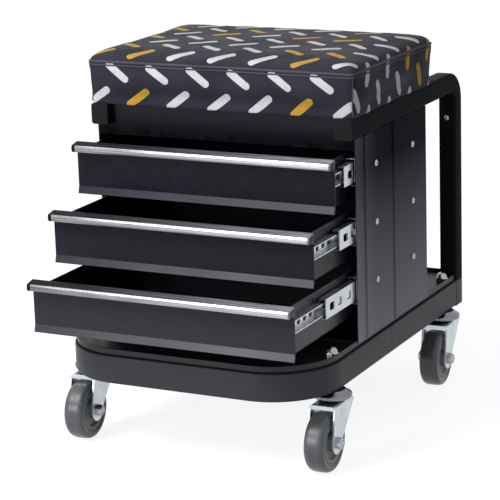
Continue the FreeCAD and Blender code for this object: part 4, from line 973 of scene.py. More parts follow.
def rounded_rectangle(width: float, height: float, radius: float, steps: int = 6) -> Array:
    """Closed outline of a rectangle with round corners.

    Each corner is a quarter circle: its centre plus radius times (cos, sin) of a turning angle.

    Args:
        width: full width.
        height: full height.
        radius: corner radius.
        steps: steps per corner.

    Returns:
        Array of shape (points, 2), anticlockwise from the right side's foot.
    """
    turn = np.linspace(0, math.pi / 2, steps + 1)
    angle = np.arange(4)[:, None] * math.pi / 2 - math.pi / 2 + turn
    signs = np.array([[1, -1], [1, 1], [-1, 1], [-1, -1]])
    centre = signs * np.array([width / 2 - radius, height / 2 - radius])
    return (centre[:, None] + radius * np.stack([np.cos(angle), np.sin(angle)], -1)).reshape(-1, 2)


def mirrored(half: Array) -> Array:
    """Closed outline from a half whose ends lie on the middle line: the half and its mirror image."""
    return np.vstack([half, (half * [-1, 1])[::-1][1:-1]])


def soft_profile(corners: Sequence[tuple[float, float]], radius: float, steps: int = 3) -> Array:
    """Outline through corners with each inner corner rounded.

    A rounded corner is a quadratic curve between the points at the given distance before and after it.

    Args:
        corners: pairs of numbers.
        radius: distance from the corner at which rounding starts, at most 0.45 of either run.
        steps: steps per rounded corner.

    Returns:
        Array of shape (points, 2).
    """
    dots = np.array(corners, float)
    here, back, ahead = dots[1:-1], dots[:-2] - dots[1:-1], dots[2:] - dots[1:-1]
    shorter = np.minimum(np.linalg.norm(back, axis=1), np.linalg.norm(ahead, axis=1))
    reach = np.minimum(radius, 0.45 * shorter)[:, None]
    begin, end = (here + unit(back) * reach)[:, None], (here + unit(ahead) * reach)[:, None]
    share = np.linspace(0, 1, steps + 1)[None, :, None]
    curve = (1 - share) ** 2 * begin + 2 * share * (1 - share) * here[:, None] + share ** 2 * end
    return np.vstack([dots[:1], curve.reshape(-1, 2), dots[-1:]])


def bent_path(corners: Array, radius: float, steps: int = 20) -> tuple[Array, Array]:
    """Path of straight runs joined by arcs.

    At each inner corner the arc runs between the two tangent points, which lie radius times the tangent of
    half the turn away from it. A point of the arc is the centre plus the start radius turned by the angle.

    Args:
        corners: points of the path, shape (corners, 3).
        radius: radius of each arc.
        steps: steps per arc.

    Returns:
        Points and unit tangents, each of shape (points, 3).
    """
    points, tangents = [corners[:1]], [unit(corners[1:2] - corners[:1])]
    for before, corner, after in zip(corners[:-2], corners[1:-1], corners[2:]):
        first, second = unit(corner - before), unit(after - corner)
        turn = math.acos(float(np.clip(first @ second, -1, 1)))
        begin = corner - first * radius * math.tan(turn / 2)
        normal = unit(second - first * (first @ second))
        angle = np.linspace(0, turn, steps + 1)[:, None]
        points.append(begin + radius * (np.sin(angle) * first + (1 - np.cos(angle)) * normal))
        tangents.append(np.cos(angle) * first + np.sin(angle) * normal)
    return (np.vstack([*points, corners[-1:]]),
            np.vstack([*tangents, unit(corners[-1:] - corners[-2:-1])]))


def carry(profile: Array, path: Array, side: Array, up: Array) -> Array:
    """Profile carried along a path: path point plus side times the profile's x plus up times its y.

    Args:
        profile: shape (outline points, 2).
        path: shape (path points, 3).
        side: unit vectors at the path's points, or one for all.
        up: unit vectors at the path's points, or one for all.

    Returns:
        Grid of shape (path points, outline points, 3).
    """
    side, up = (np.broadcast_to(way, path.shape)[:, None] for way in (side, up))
    return path[:, None] + profile[None, :, :1] * side + profile[None, :, 1:] * up


def turned(profile: Array, centre: Array, axis: Array, steps: int,
           shape: Optional[Callable[[Array, Array], Array]] = None) -> Array:
    """Profile turned about an axis: centre plus axis times its x plus radius times (cos, sin) of the angle.

    Args:
        profile: pairs of place along the axis and radius, shape (outline points, 2).
        centre: point on the axis where the profile's x is zero.
        axis: unit vector.
        steps: steps round the axis.
        shape: changes the radii from the angles and radii, as for a hexagon.

    Returns:
        Grid of shape (steps, outline points, 3), closed round the axis.
    """
    first = unit(np.cross(axis, UP if abs(axis[2]) < 0.9 else RIGHT))
    second = np.cross(axis, first)
    angle = np.linspace(0, 2 * math.pi, steps, endpoint=False)[:, None]
    place, radius = (np.broadcast_to(column, (steps, len(profile))) for column in profile.T)
    if shape:
        radius = shape(angle, radius)
    around = np.cos(angle)[..., None] * first + np.sin(angle)[..., None] * second
    return centre + place[..., None] * axis + radius[..., None] * around


def hexagon(across: float) -> Callable[[Array, Array], Array]:
    """Radius rule of a hexagon: half its width across flats over the cosine of the angle to the nearest flat.

    Args:
        across: width across flats.

    Returns:
        Rule for turned(), which keeps the smaller of the hexagon's and the profile's radius.
    """
    def rule(angle: Array, radius: Array) -> Array:
        """Smaller of the two radii.

        Args:
            angle: angles round the axis.
            radius: the profile's radii.

        Returns:
            The radii to use.
        """
        sixth = math.pi / 3
        nearest = np.mod(angle + sixth / 2, sixth) - sixth / 2
        return np.minimum(radius, across / 2 / np.cos(nearest))
    return rule


@dataclass(frozen=True)
class PanHead:
    """Domed screw head with a cross recess."""

    radius: float
    height: float
    fall: float = 0.85
    cross_half: float = 0.55 * MM
    cross_reach: float = 2 * MM
    cross_depth: float = 1.1 * MM
    foot_depth: float = 0.2 * MM
    rings: int = 15
    steps: int = 48

    def add(self, surface: Surface, foot: Array, out: Array, across: Array) -> None:
        """Adds a head to a surface.

        The dome over a polar grid falls with the square of the radius. The recess takes away a depth where
        the point lies in a bar across or along, fading with the radius.

        Args:
            surface: gathers the head.
            foot: centre of its foot.
            out: unit vector that it faces.
            across: unit vector of one bar of the cross.
        """
        turn = np.linspace(0, 2 * math.pi, self.steps, endpoint=False)
        share = np.linspace(0, 1, self.rings) ** 0.8
        spread, angle = np.meshgrid(share * self.radius, turn, indexing="ij")
        first, second = spread * np.cos(angle), spread * np.sin(angle)
        dome = self.height * (1 - (spread / self.radius) ** 2 * self.fall)
        bar = np.minimum(np.abs(first), np.abs(second))
        sunk = np.clip(1 - bar / self.cross_half, 0, 1) * np.clip(1.4 - spread / self.cross_reach, 0, 1)
        level = dome - self.cross_depth * np.clip(1.6 * sunk, 0, 1)
        first, second, level = (np.vstack([part, part[-1:]])[..., None] for part in (first, second, level))
        level[-1] = -self.foot_depth
        surface.grid(foot + level * out + first * across + second * np.cross(out, across), closed_v=True)


# Sub-assemblies


@dataclass
class TubeFrame:
    """Rails, rear posts and base ring of rounded rectangular tube."""

    width: float = 22 * MM
    rail_height: float = 25 * MM
    base_height: float = 35 * MM
    corner: float = 3.5 * MM
    gauge: float = 1.6 * MM
    hoop_bend: float = 24 * MM
    base_bend: float = 69 * MM
    end_round: float = 0.5 * MM
    screw: PanHead = PanHead(3 * MM, 1.7 * MM)
    screw_drop: float = 58 * MM
    bead: float = 1.6 * MM
    bead_wave: float = 0.15
    bead_beat: float = 55.0
    bead_steps: int = 60
    bead_ends: tuple[float, float] = (0.975, 1.02)

    def build(self) -> None:
        """Builds every tube and the rail plugs from the CAD nodes' boxes."""
        for side in Side:
            label = side.name.lower()
            low, high = node_box(f"hoop_tube_{label}")
            x = (low[0] + high[0]) / 2
            y, z = high[1:] - self.rail_height / 2
            hoop = np.array([[x, low[1], z], [x, y, z], [x, y, low[2]]])
            self.tube(f"hoop_tube_{label}", hoop, self.rail_height, self.hoop_bend, True)
            low, high = node_box(f"base_side_tube_{label}")
            level = (low[2] + high[2]) / 2
            run = np.array([[x, low[1], level], [x, high[1], level]])
            self.tube(f"base_side_tube_{label}", run, self.base_height)
        low, high = node_box("base_front_tube")
        x, front = high[0] - self.width / 2, low[1] + self.width / 2
        ring = np.array([[x, high[1], level], [x, front, level], [-x, front, level], [-x, high[1], level]])
        self.tube("base_front_tube", ring, self.base_height, self.base_bend)
        low, high = node_box("base_rear_tube")
        y = (low[1] + high[1]) / 2
        run = np.array([[low[0], y, level], [high[0], y, level]])
        self.tube("base_rear_tube", run, self.base_height)
        Workshop.soften("rail_end_plugs", Finishes.plug, 0.5 * MM)
        self.beads()
        self.post_screws()

    def tube(self, node: str, corners: Array, height: float, bend: float = 0.0, level: bool = False
             ) -> None:
        """Open tube along a bent path, with wall thickness and rounded end rims.

        The outer and inner outlines are carried along the path. The ends join them by a ring that starts a
        little smaller than the outline, so that the rim looks rounded and a joint shows as a fine line. One
        more ring close to each end keeps the rims from tilting the long faces' shading.

        Args:
            node: the CAD node that it stands for, which names it too.
            corners: points of the path.
            height: full height of the section.
            bend: radius of its bends.
            level: whether the section's width lies along X throughout.
        """
        path, tangent = bent_path(corners, bend)
        near = tangent[[0, -1]] * 3 * self.end_round
        path = np.vstack([path[:1], path[:1] + near[:1], path[1:-1], path[-1:] - near[1:], path[-1:]])
        tangent = np.vstack([tangent[:1], tangent, tangent[-1:]])
        side = RIGHT if level else np.cross(tangent, UP)
        up = np.cross(RIGHT, tangent) if level else UP
        outer, inner, rim = (rounded_rectangle(self.width - 2 * less, height - 2 * less, self.corner - less)
                             for less in (0, self.gauge, self.end_round))
        inset = np.zeros((len(path), 1))
        inset[0], inset[-1] = self.end_round, -self.end_round
        rims = carry(rim, path, side, up)
        rings = np.concatenate([rims[:1], carry(outer, path + tangent * inset, side, up), rims[-1:],
                                carry(inner, path, side, up)[::-1]])
        whole = Surface().grid(rings, closed_u=True, closed_v=True)
        Workshop.stand_for(whole.piece(node.replace("_tube", ""), 50, Finishes.frame_paint), node)

    def post_screws(self) -> None:
        """A pan head on the front of each rear post, below the bend."""
        surface = Surface()
        for side in Side:
            low, high = node_box(f"hoop_tube_{side.name.lower()}")
            foot = np.array([(low[0] + high[0]) / 2, high[1] - self.rail_height, high[2] - self.screw_drop])
            self.screw.add(surface, foot, -BACK, RIGHT)
        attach(surface.piece("post_screws", 35, Finishes.nut_zinc), "frame")
        log.info("post screws built")

    def beads(self) -> None:
        """Weld beads where the rear posts meet the base.

        A bead is a thin tube across the post, whose radius waves with a sine along its length and closes
        towards its ends. The ends are shares of the place of the post's outer and inner face.
        """
        surface = Surface()
        edge = node_box("hoop_tube_right")[1][0]
        _, (_, y, z) = node_box("base_side_tube_right")
        share = np.linspace(0, 1, self.bead_steps)[:, None]
        wave = 1 - self.bead_wave + self.bead_wave * np.sin(share * self.bead_beat)
        radius = self.bead * wave * np.clip(np.sin(share * math.pi) * 6, 0.1, 1)
        for side in Side:
            outer = np.array([side.value * edge * self.bead_ends[0], y, z])
            inner = np.array([side.value * (edge - self.width) * self.bead_ends[1], y, z])
            ring = circle(12) @ np.stack([np.cross(unit(inner - outer), UP), UP])
            grid = (outer + (inner - outer) * share)[:, None] + radius[..., None] * ring
            surface.grid(grid, closed_v=True).cap(grid[0]).cap(grid[-1])
        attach(surface.piece("post_weld_beads", 60, Finishes.frame_paint), "frame")
        log.info("weld beads built")


@dataclass
class Cabinet:
    """Tray, panels, header, sill and the slide screws."""

    edge: float = 0.45 * MM
    rib_limit: float = 12.0
    screw: PanHead = PanHead(3.8 * MM, 2.4 * MM)

    def build(self) -> None:
        """Rounds the sheets' edges and builds the screws."""
        for node in ("side_panel_left", "side_panel_right", "back_panel"):
            Workshop.soften(node, Finishes.panel_paint, self.edge, limit=self.rib_limit)
        Workshop.soften("front_header", Finishes.header_paint, self.edge)
        Workshop.soften("cabinet_sill", Finishes.frame_paint, self.edge)
        Workshop.soften("base_tray", Finishes.tray_paint, self.edge)
        self.screws()

    def screws(self) -> None:
        """Two upright rows of three pan heads on each side panel."""
        low, high = node_box("slide_screws")
        surface = Surface()
        for side in Side:
            for y in (low[1] + self.screw.radius, high[1] - self.screw.radius):
                for z in np.linspace(low[2] + self.screw.radius, high[2] - self.screw.radius, 3):
                    foot = np.array([side.value * (abs(low[0]) - self.screw.height), y, z])
                    self.screw.add(surface, foot, side.value * RIGHT, BACK)
        Workshop.stand_for(surface.piece("slide_screw_heads", 35, Finishes.nut_zinc), "slide_screws")


@dataclass
class Drawer:
    """One drawer with its pull and slides."""

    row: Row
    edge: float = 0.35 * MM
    end_left: float = 4.5 * MM
    end_right: float = 2 * MM
    nose_foot: float = 1.5 * MM
    nose_height: float = 8 * MM
    nose_depth: float = 1.2 * MM
    nose_back: float = 3.2 * MM
    nose_points: int = 25
    groove: float = 0.12 * MM
    groove_beat: float = 8.0
    wall: float = 2 * MM
    crease: float = 0.8 * MM
    cut: float = 0.3 * MM

    def build(self) -> None:
        """Builds the drawer's pieces."""
        name = self.row.value
        Workshop.soften(f"drawer_box_{name}", Finishes.drawer_paint, self.edge)
        Workshop.soften(f"drawer_front_{name}", Finishes.drawer_paint, self.edge * 1.6)
        self.pull()
        for member in ("outer", "carrier", "inner"):
            Workshop.soften(f"slide_{member}_{name}", Finishes.slide_zinc, 0.25 * MM)
        for cage in ("outer", "inner"):
            Workshop.keep(f"ball_cage_{cage}_{name}", Finishes.zinc)

    def pull(self) -> None:
        """Extruded pull: black sloping cap behind a bright rounded nose.

        The outline in Y and Z is carried along X. The nose is half an ellipse with two shallow grooves. Faces
        ahead of the cap's front line take the bright finish, but for the painted ends.
        """
        (left, nose, foot), (right, back, crest) = node_box(f"drawer_pull_{self.row.value}")
        nose_low = foot + self.nose_foot
        nose_high = nose_low + self.nose_height
        turn = np.linspace(-math.pi / 2, math.pi / 2, self.nose_points)
        groove = self.groove * np.cos(self.groove_beat * turn).clip(0)
        bow = np.stack([nose + self.nose_depth - (self.nose_depth - groove) * np.cos(turn),
                        (nose_low + nose_high + self.nose_height * np.sin(turn)) / 2], -1)
        wall, inside = self.wall, nose + self.nose_back
        behind = soft_profile([tuple(bow[-1]), (back - wall, crest), (back, crest), (back, foot),
                               (back - wall, foot), (back - wall, crest - wall), (inside, nose_high - wall),
                               (inside, nose_low), tuple(bow[0])], self.crease)
        outline = np.vstack([bow, behind[1:-1]])
        x = np.array([left, left + self.end_left, 0, right - self.end_right, right])
        grid = carry(outline, x[:, None] * RIGHT, BACK, UP)
        tags = np.ones((len(x) - 1, len(outline)), int)
        tags[1:-1, :len(bow) - 1] = 0
        surface = Surface().grid(grid, closed_v=True, tag=tags.ravel()).cap(grid[0], 1).cap(grid[-1], 1)
        piece = surface.piece(f"pull_{self.row.value}", 50, Finishes.pull_nose, Finishes.pull_cap)
        Workshop.bevel(piece, self.cut, 2, 60).harden_normals = True
        Workshop.stand_for(piece, f"drawer_pull_{self.row.value}")


@dataclass
class Caster:
    """One swivel caster: fork, axle bolt, hub and tyre, about its wheel's own axis."""

    corner: Corner
    fork_half: float = 14 * MM
    gauge: float = 2.5 * MM
    wheel_radius: float = 34.9 * MM
    wheel_half: float = 12 * MM
    shoulder: float = 30 * MM
    rim: float = 24 * MM
    bead: float = 1.5 * MM
    bead_half: float = 3 * MM
    bore: float = 4.05 * MM
    side_room: float = 0.35 * MM
    shank: float = 4 * MM
    head_across: float = 12.6 * MM
    centre: Array = field(init=False)
    axis: Array = field(init=False)

    def __post_init__(self) -> None:
        """Takes the wheel's centre and axis from its joint."""
        joint = next(j for j in frame["joints"] if j["name"] == f"wheel_{self.corner.value}_spin")
        self.centre = np.array(joint["pos_m"], float)
        self.axis = unit(np.array(joint["axis"], float))

    def build(self) -> None:
        """Builds the caster's pieces."""
        Workshop.soften(f"caster_fork_{self.corner.value}", Finishes.zinc, 0.7 * MM, 3)
        self.axle()
        self.hub()
        self.tyre()

    def axle(self) -> None:
        """Hexagon bolt head on the inner side and a lock nut with its collar on the outer side.

        Both outlines are pairs of the distance from the fork's face and the radius.
        """
        name = self.corner.value
        face = np.array([self.fork_half + self.gauge, 0])
        full = self.head_across / math.sqrt(3)
        head = np.array([[0, 3 * MM], [0, full], [4.2 * MM, full], [5 * MM, full * 0.86], [5 * MM, 0]])
        nut = np.array([[0, 3 * MM], [0, full * 0.9], [0.5 * MM, full], [4.6 * MM, full],
                        [5.2 * MM, full * 0.84], [6.4 * MM, full * 0.74], [6.5 * MM, 4.2 * MM],
                        [5.6 * MM, 3.9 * MM], [6.3 * MM, 3.5 * MM], [6.4 * MM, 0]])
        shank = np.array([-face, [-face[0], self.shank], [face[0], self.shank], face])
        rule = hexagon(self.head_across)
        surface = Surface()
        for outline, shape in ((head * [-1, 1] - face, rule), (nut + face, rule), (shank, None)):
            surface.grid(turned(outline, self.centre, self.axis, 72, shape), closed_u=True)
        Workshop.stand_for(surface.piece(f"axle_bolt_{name}", 35, Finishes.nut_zinc), f"caster_axle_{name}")

    def ring(self, part: str, half: Array, steps: int, sharp: float, finish: Finish) -> None:
        """Part of the wheel, turned about the axle.

        Args:
            part: its name.
            half: one half of its outline.
            steps: steps round the axle.
            sharp: angle in degrees over which an edge stays sharp.
            finish: its finish.
        """
        grid = turned(mirrored(half), self.centre, self.axis, steps)
        whole = Surface().grid(grid, closed_u=True, closed_v=True)
        name = f"{part}_{self.corner.value}"
        Workshop.stand_for(whole.piece(name, sharp, finish), f"wheel_{name}")

    def hub(self) -> None:
        """Hub with a raised boss, a dished web and a rim lip."""
        boss, lip = self.fork_half - self.side_room, self.rim + self.bead
        self.ring("hub", soft_profile([
            (0, self.bore), (boss, self.bore), (boss, 9.6 * MM), (8.6 * MM, 10 * MM), (7.1 * MM, 11.6 * MM),
            (7.2 * MM, 18.8 * MM), (11.2 * MM, 20.4 * MM), (11.7 * MM, self.rim), (self.bead_half, self.rim),
            (self.bead_half, lip), (0, lip)], 0.9 * MM), 96, 35, Finishes.hub)

    def tyre(self) -> None:
        """Flat tread with round shoulders and stepped rings on each sidewall.

        The tread is a superellipse: the fourth power of the share across it plus the square of the share of
        the shoulder's height is one. The sidewall steps in, out over a ring and in to the rim.
        """
        turn = np.linspace(0, math.pi / 2, 26)
        tread = np.stack([self.wheel_half * np.sin(turn) ** (1 / 2),
                          self.shoulder + (self.wheel_radius - self.shoulder) * np.cos(turn)], -1)
        out, lip = self.wheel_half, self.rim + self.bead
        side = soft_profile([
            (out, self.shoulder), (out, 27.4 * MM), (out - 0.9 * MM, 27 * MM), (out - 0.9 * MM, 26.1 * MM),
            (out - 0.2 * MM, 25.7 * MM), (out - 0.2 * MM, 24.8 * MM), (out - 1 * MM, self.rim),
            (self.bead_half, self.rim), (self.bead_half, lip), (0, lip)], 0.35 * MM)
        self.ring("tyre", np.vstack([tread, side[1:]]), 128, 50, Finishes.tyre)


@dataclass
class CasterMounts:
    """The four stems with their raceway cups, and the nuts on the tray."""

    cup: float = 22.3 * MM
    step: float = 16 * MM
    top: float = 90 * MM
    shoulder: float = 86 * MM
    race: float = 78.4 * MM
    race_radius: float = 6 * MM
    head_radius: float = 8.5 * MM
    head_low: float = 72.6 * MM
    head_high: float = 75.1 * MM
    stem: float = 5 * MM
    across: float = 14 * MM
    floor: float = 126.2 * MM

    def build(self) -> None:
        """Builds the cups and nuts about each swivel's axis. Outlines are pairs of height and radius."""
        tip = self.floor + 7.4 * MM
        cup = soft_profile([
            (self.head_low, 0), (self.head_low, self.head_radius), (self.head_high, self.head_radius),
            (self.head_high, self.race_radius), (self.race, self.race_radius), (self.race, self.step),
            (self.shoulder - 5 * MM, self.cup - 0.3 * MM), (self.shoulder - 4.4 * MM, self.cup),
            (self.shoulder - 1 * MM, self.cup), (self.shoulder, self.cup - 1.4 * MM),
            (self.top - 1 * MM, self.step), (self.top, self.step - 1 * MM), (self.top, self.stem),
            (tip, self.stem), (tip, 0)], 0.7 * MM)
        full, half = self.across / math.sqrt(3), self.across / 2
        hexed = [[0, 5.1 * MM], [0, full * 0.93], [0.6 * MM, full], [6.6 * MM, full], [7.3 * MM, half * 0.98]]
        dome = np.linspace(0, math.pi / 2, 10)[1:]
        round_top = np.stack([7.5 * MM + 5.8 * MM * np.sin(dome), half * 0.9 * np.cos(dome)], -1)
        nut = np.vstack([hexed, round_top]) + [self.floor, 0]
        cups, nuts = Surface(), Surface()
        for joint in frame["joints"]:
            if joint["name"].startswith("swivel_"):
                foot = np.array([*joint["pos_m"][:2], 0.0])
                cups.grid(turned(cup, foot, UP, 72), closed_u=True)
                nuts.grid(turned(nut, foot, UP, 72, hexagon(self.across)), closed_u=True)
        Workshop.stand_for(cups.piece("caster_cups", 35, Finishes.raceway), "caster_stems")
        Workshop.stand_for(nuts.piece("dome_nuts", 35, Finishes.nut_zinc), "stem_nuts")


@dataclass
class Seat:
    """Cushion with its piping, the board below it and the bolts."""

    swell: float = 2.4 * MM
    crown: float = 7 * MM
    crown_power: float = 0.3
    draw: float = 1.2 * MM
    corner: float = 5 * MM
    least_corner: float = 3 * MM
    edge_round: float = 9 * MM
    rim_height: float = 59 * MM
    rim_band: float = 2 * MM
    spill: float = 4 * MM
    tuck: float = 5 * MM
    below: float = 5 * MM
    sink: float = 1 * MM
    cap: float = 3 * MM
    hold: float = 14 * MM
    voxel: float = 4 * MM
    flat_rings: int = 26
    side_rings: int = 10
    pressure: float = 4.0
    stiffness: float = 25.0
    frames: int = 20
    calm: int = 30
    top_ripple: float = 0.25 * MM
    side_ripple: float = 0.2 * MM
    welts: tuple[tuple[float, float], ...] = ((9.5 * MM, 1.7 * MM), (13.5 * MM, 1 * MM))
    welt_lift: float = -0.2
    seam: float = 0.8 * MM
    seam_lift: float = 0.1
    seam_inset: float = 2.6 * MM
    seam_foot: float = 1.5 * MM
    low: Array = field(init=False)
    high: Array = field(init=False)
    rim: float = field(init=False)

    def __post_init__(self) -> None:
        """Takes the cushion's box from its CAD node and widens it by the spill."""
        low, high = node_box("seat_cushion")
        self.low, self.high = low - self.spill * RIGHT, high + self.spill * RIGHT
        self.rim = low[2] + self.rim_height

    def build(self) -> None:
        """Builds the seat."""
        Workshop.soften("seat_board", Finishes.board, 0.6 * MM)
        Workshop.soften("seat_bolts", Finishes.zinc, 0.2 * MM)
        self.piping(self.cushion())

    def plan(self) -> tuple[Array, Array]:
        """Centre and half sizes of the box in X and Y."""
        return (self.high[:2] + self.low[:2]) / 2, (self.high[:2] - self.low[:2]) / 2

    def outline(self, inset: float, count: int) -> Array:
        """Plan of the cushion: a rectangle with round corners whose sides draw in between them.

        Each side's points move inwards by the draw times the sine of their share along it.

        Args:
            inset: distance inside the full plan.
            count: points per side.

        Returns:
            Closed outline of shape (points, 2), anticlockwise.
        """
        centre, half = self.plan()
        corner = max(self.corner - inset, self.least_corner)
        arcs = rounded_rectangle(*(2 * (half - inset)), corner).reshape(4, -1, 2)
        share = np.linspace(0, 1, count)[1:-1, None]
        runs = []
        for arc, after in zip(arcs, np.roll(arcs, -1, axis=0)):
            along = after[0] - arc[-1]
            normal = unit(np.array([-along[1], along[0]]))
            runs += [arc, arc[-1] + along * share + normal * self.draw * np.sin(share * math.pi)]
        return np.vstack(runs) + centre

    def start_mesh(self) -> Mesh:
        """Closed start form: flat bottom, sides, rounded edge and a crowned top.

        Rings of the outline shrink towards the middle. The top's height is the rim plus the crown times
        (1 - x^2)(1 - y^2) to the crown's power, with x and y as shares of the half sizes. The foot lies a few
        millimetres too low, and is cut flat after the form is blown up. Sides draw in by the tuck towards it.

        Returns:
            The start mesh.
        """
        shape = self.outline(self.swell, 40)
        centre = shape.mean(axis=0)
        half = self.plan()[1]
        bottom, top, radius = self.low[2] - self.below, self.rim - self.swell * 0.3, self.edge_round
        turn = np.linspace(0, math.pi / 2, 6)
        inner = np.linspace(1, 0.02, self.flat_rings)
        reach = 1 - radius / half.min() * (1 - np.cos(turn))
        shares = np.concatenate([inner[::-1], np.ones(self.side_rings), reach, inner * reach[-1]])
        heights = np.concatenate([
            np.full(self.flat_rings, bottom), np.linspace(bottom + 1 * MM, top - radius, self.side_rings),
            top - radius + radius * np.sin(turn), np.full(self.flat_rings, top)])
        plan = centre + shares[:, None, None] * (shape - centre)
        spot = (plan - centre) / half
        bow = np.clip(1 - spot ** 2, 0, 1).prod(axis=-1) ** self.crown_power
        low_share = np.clip((top - heights) / (top - bottom), 0, 1)[:, None, None]
        plan = centre + (plan - centre) * (1 - self.tuck / half[0] * low_share)
        on_top = np.arange(len(shares))[:, None] >= self.flat_rings + self.side_rings
        lifted = heights[:, None] + np.where(on_top, bow * self.crown, 0)
        points = np.concatenate([plan, lifted[..., None]], -1)
        return Surface().grid(points, closed_v=True).cap(points[0]).cap(points[-1]).mesh("cushion_start")

    def cushion(self) -> Object:
        """Start form, remeshed, blown up as cloth and held near its start.

        Returns:
            The finished cushion.
        """
        cushion = Workshop.finish_mesh("cushion", self.start_mesh(), 180, Finishes.cover)
        remesh = cushion.modifiers.new("Even faces", "REMESH")
        remesh.mode = "VOXEL"
        remesh.voxel_size = self.voxel
        self.apply(cushion)
        start = self.points(cushion)
        self.lay_cover(cushion)
        self.blow_up(cushion)
        self.settle(cushion, start)
        cushion.data.polygons.foreach_set("use_smooth", np.ones(len(cushion.data.polygons), bool))
        smooth = cushion.modifiers.new("Smooth cover", "SUBSURF")
        smooth.levels = smooth.render_levels = 1
        Workshop.dress(cushion, Finishes.cover)
        Workshop.stand_for(cushion, "seat_cushion")
        return cushion

    @staticmethod
    def apply(piece: Object) -> None:
        """Bakes the piece's modifiers into its mesh.

        Args:
            piece: the object.
        """
        graph = bpy.context.evaluated_depsgraph_get()
        graph.update()
        baked = bpy.data.meshes.new_from_object(piece.evaluated_get(graph))
        piece.modifiers.clear()
        piece.data = baked

    @staticmethod
    def points(piece: Object) -> Array:
        """The mesh's points."""
        return values(piece.data.vertices, "co", 3, float)

    def blow_up(self, cushion: Object) -> None:
        """Runs the cloth with pressure and no gravity.

        Args:
            cushion: the remeshed cushion.
        """
        cloth = cushion.modifiers.new("Cover", "CLOTH")
        cloth.settings.use_pressure = True
        cloth.settings.uniform_pressure_force = self.pressure
        cloth.settings.effector_weights.gravity = 0
        cloth.settings.tension_stiffness = cloth.settings.compression_stiffness = self.stiffness
        cloth.point_cache.frame_end = self.frames
        for step in range(1, self.frames + 1):
            bpy.context.scene.frame_set(step)
        self.apply(cushion)
        bpy.context.scene.frame_set(1)

    def settle(self, cushion: Object, start: Array) -> None:
        """Caps how far each point moved, holds the lower edge on the board and fits the form to its box.

        A move longer than the cap is shortened to the cap times the hyperbolic tangent of its share of it.
        It is free from the hold height upwards and held at the foot, by the smooth step. The top and the
        sides get shallow ripples from sines. Then the plan is scaled about the box's middle and the height
        about the foot, and what lies below the foot is cut flat.

        Args:
            cushion: the simulated cushion.
            start: its points before the simulation.
        """
        moved = self.calmed(cushion, self.points(cushion) - start)
        length = np.maximum(np.linalg.norm(moved, axis=1, keepdims=True), 1e-9)
        free = np.clip((start[:, 2:] - self.low[2]) / self.hold, 0, 1)
        free = free * free * (3 - 2 * free)
        final = start + moved / length * self.cap * np.tanh(length / self.cap) * free
        ripple = np.sin(final[:, 0] * 210 + 1.3) * np.sin(final[:, 1] * 170) * self.top_ripple
        final[:, 2] += np.where(final[:, 2] > self.rim - self.rim_band, ripple, 0)
        final[:, 1] += free[:, 0] * np.sin(final[:, 0] * 95 + 0.6) * self.side_ripple
        middle = np.append(self.plan()[0], self.low[2])
        reach = np.maximum(final.max(axis=0) - middle, middle - final.min(axis=0))
        reach[2] = final[:, 2].max() - self.low[2]
        final = middle + (final - middle) * (self.high - middle) / reach
        final[:, 2] = np.maximum(final[:, 2], self.low[2] - self.sink)
        cushion.data.vertices.foreach_set("co", final.ravel())
        cushion.data.update()

    def calmed(self, cushion: Object, moved: Array) -> Array:
        """Moves evened out over the mesh, so that the cover bulges broadly and hardly folds.

        In each round a point takes the mean of its own move and the mean move of its neighbours.

        Args:
            cushion: the simulated cushion.
            moved: the moves of its points.

        Returns:
            The moves after all rounds.
        """
        pairs = values(cushion.data.edges, "vertices", 2)
        here, there = np.vstack([pairs, pairs[:, ::-1]]).T
        share = np.bincount(here, minlength=len(moved))[:, None].clip(1)
        for _ in range(self.calm):
            near = np.stack([np.bincount(here, moved[there, axis], len(moved)) for axis in range(3)], -1)
            moved = (moved + near / share) / 2
        return moved

    def lay_cover(self, cushion: Object) -> None:
        """Unfolds the cover into its UV map.

        The top keeps its place in plan. Points below the rim continue outwards by how far they lie below it,
        along X or Y, whichever their face leans to more.

        Args:
            cushion: the form before it is blown up.
        """
        mesh = cushion.data
        normals = values(mesh.polygons, "normal", 3, float)
        facing = np.repeat(normals, values(mesh.polygons, "loop_total"), axis=0)[:, :2]
        spots = self.points(cushion)[values(mesh.loops, "vertex_index")]
        drop = np.maximum(self.rim + self.rim_band - spots[:, 2:], 0)
        across = np.abs(facing[:, 0]) > np.abs(facing[:, 1])
        leans = np.stack([across, ~across], -1)
        flat = spots[:, :2] + np.where(leans, np.sign(facing) * drop, 0)
        mesh.uv_layers.new(name="Cover").data.foreach_set("uv", flat.astype(np.float32).ravel())

    def piping(self, cushion: Object) -> None:
        """Welt cord round the rim and a seam down each corner, laid on the finished cover.

        Each cord's path is drawn to the nearest point of the cover and lifted along its normal. Its section
        is a circle carried along the path.

        Args:
            cushion: the finished cushion.
        """
        faces = [tuple(p.vertices) for p in cushion.data.polygons]
        tree = BVHTree.FromPolygons(self.points(cushion).tolist(), faces)
        surface = Surface()
        ring = self.outline(0, 60)
        for drop, radius in self.welts:
            level = np.full((len(ring), 1), self.rim - drop)
            self.cord(surface, tree, np.hstack([ring, level]), radius, self.welt_lift, True)
        centre, half = self.plan()
        level = np.linspace(self.low[2] + self.seam_foot, self.rim - self.welts[0][0], 30)[:, None]
        for way in ((-1, -1), (-1, 1), (1, -1), (1, 1)):
            corner = np.broadcast_to(centre + (half - self.seam_inset) * way, (len(level), 2))
            self.cord(surface, tree, np.hstack([corner, level]), self.seam, self.seam_lift, False)
        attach(surface.piece("cushion_piping", 60, Finishes.piping), "frame")
        log.info("piping laid")

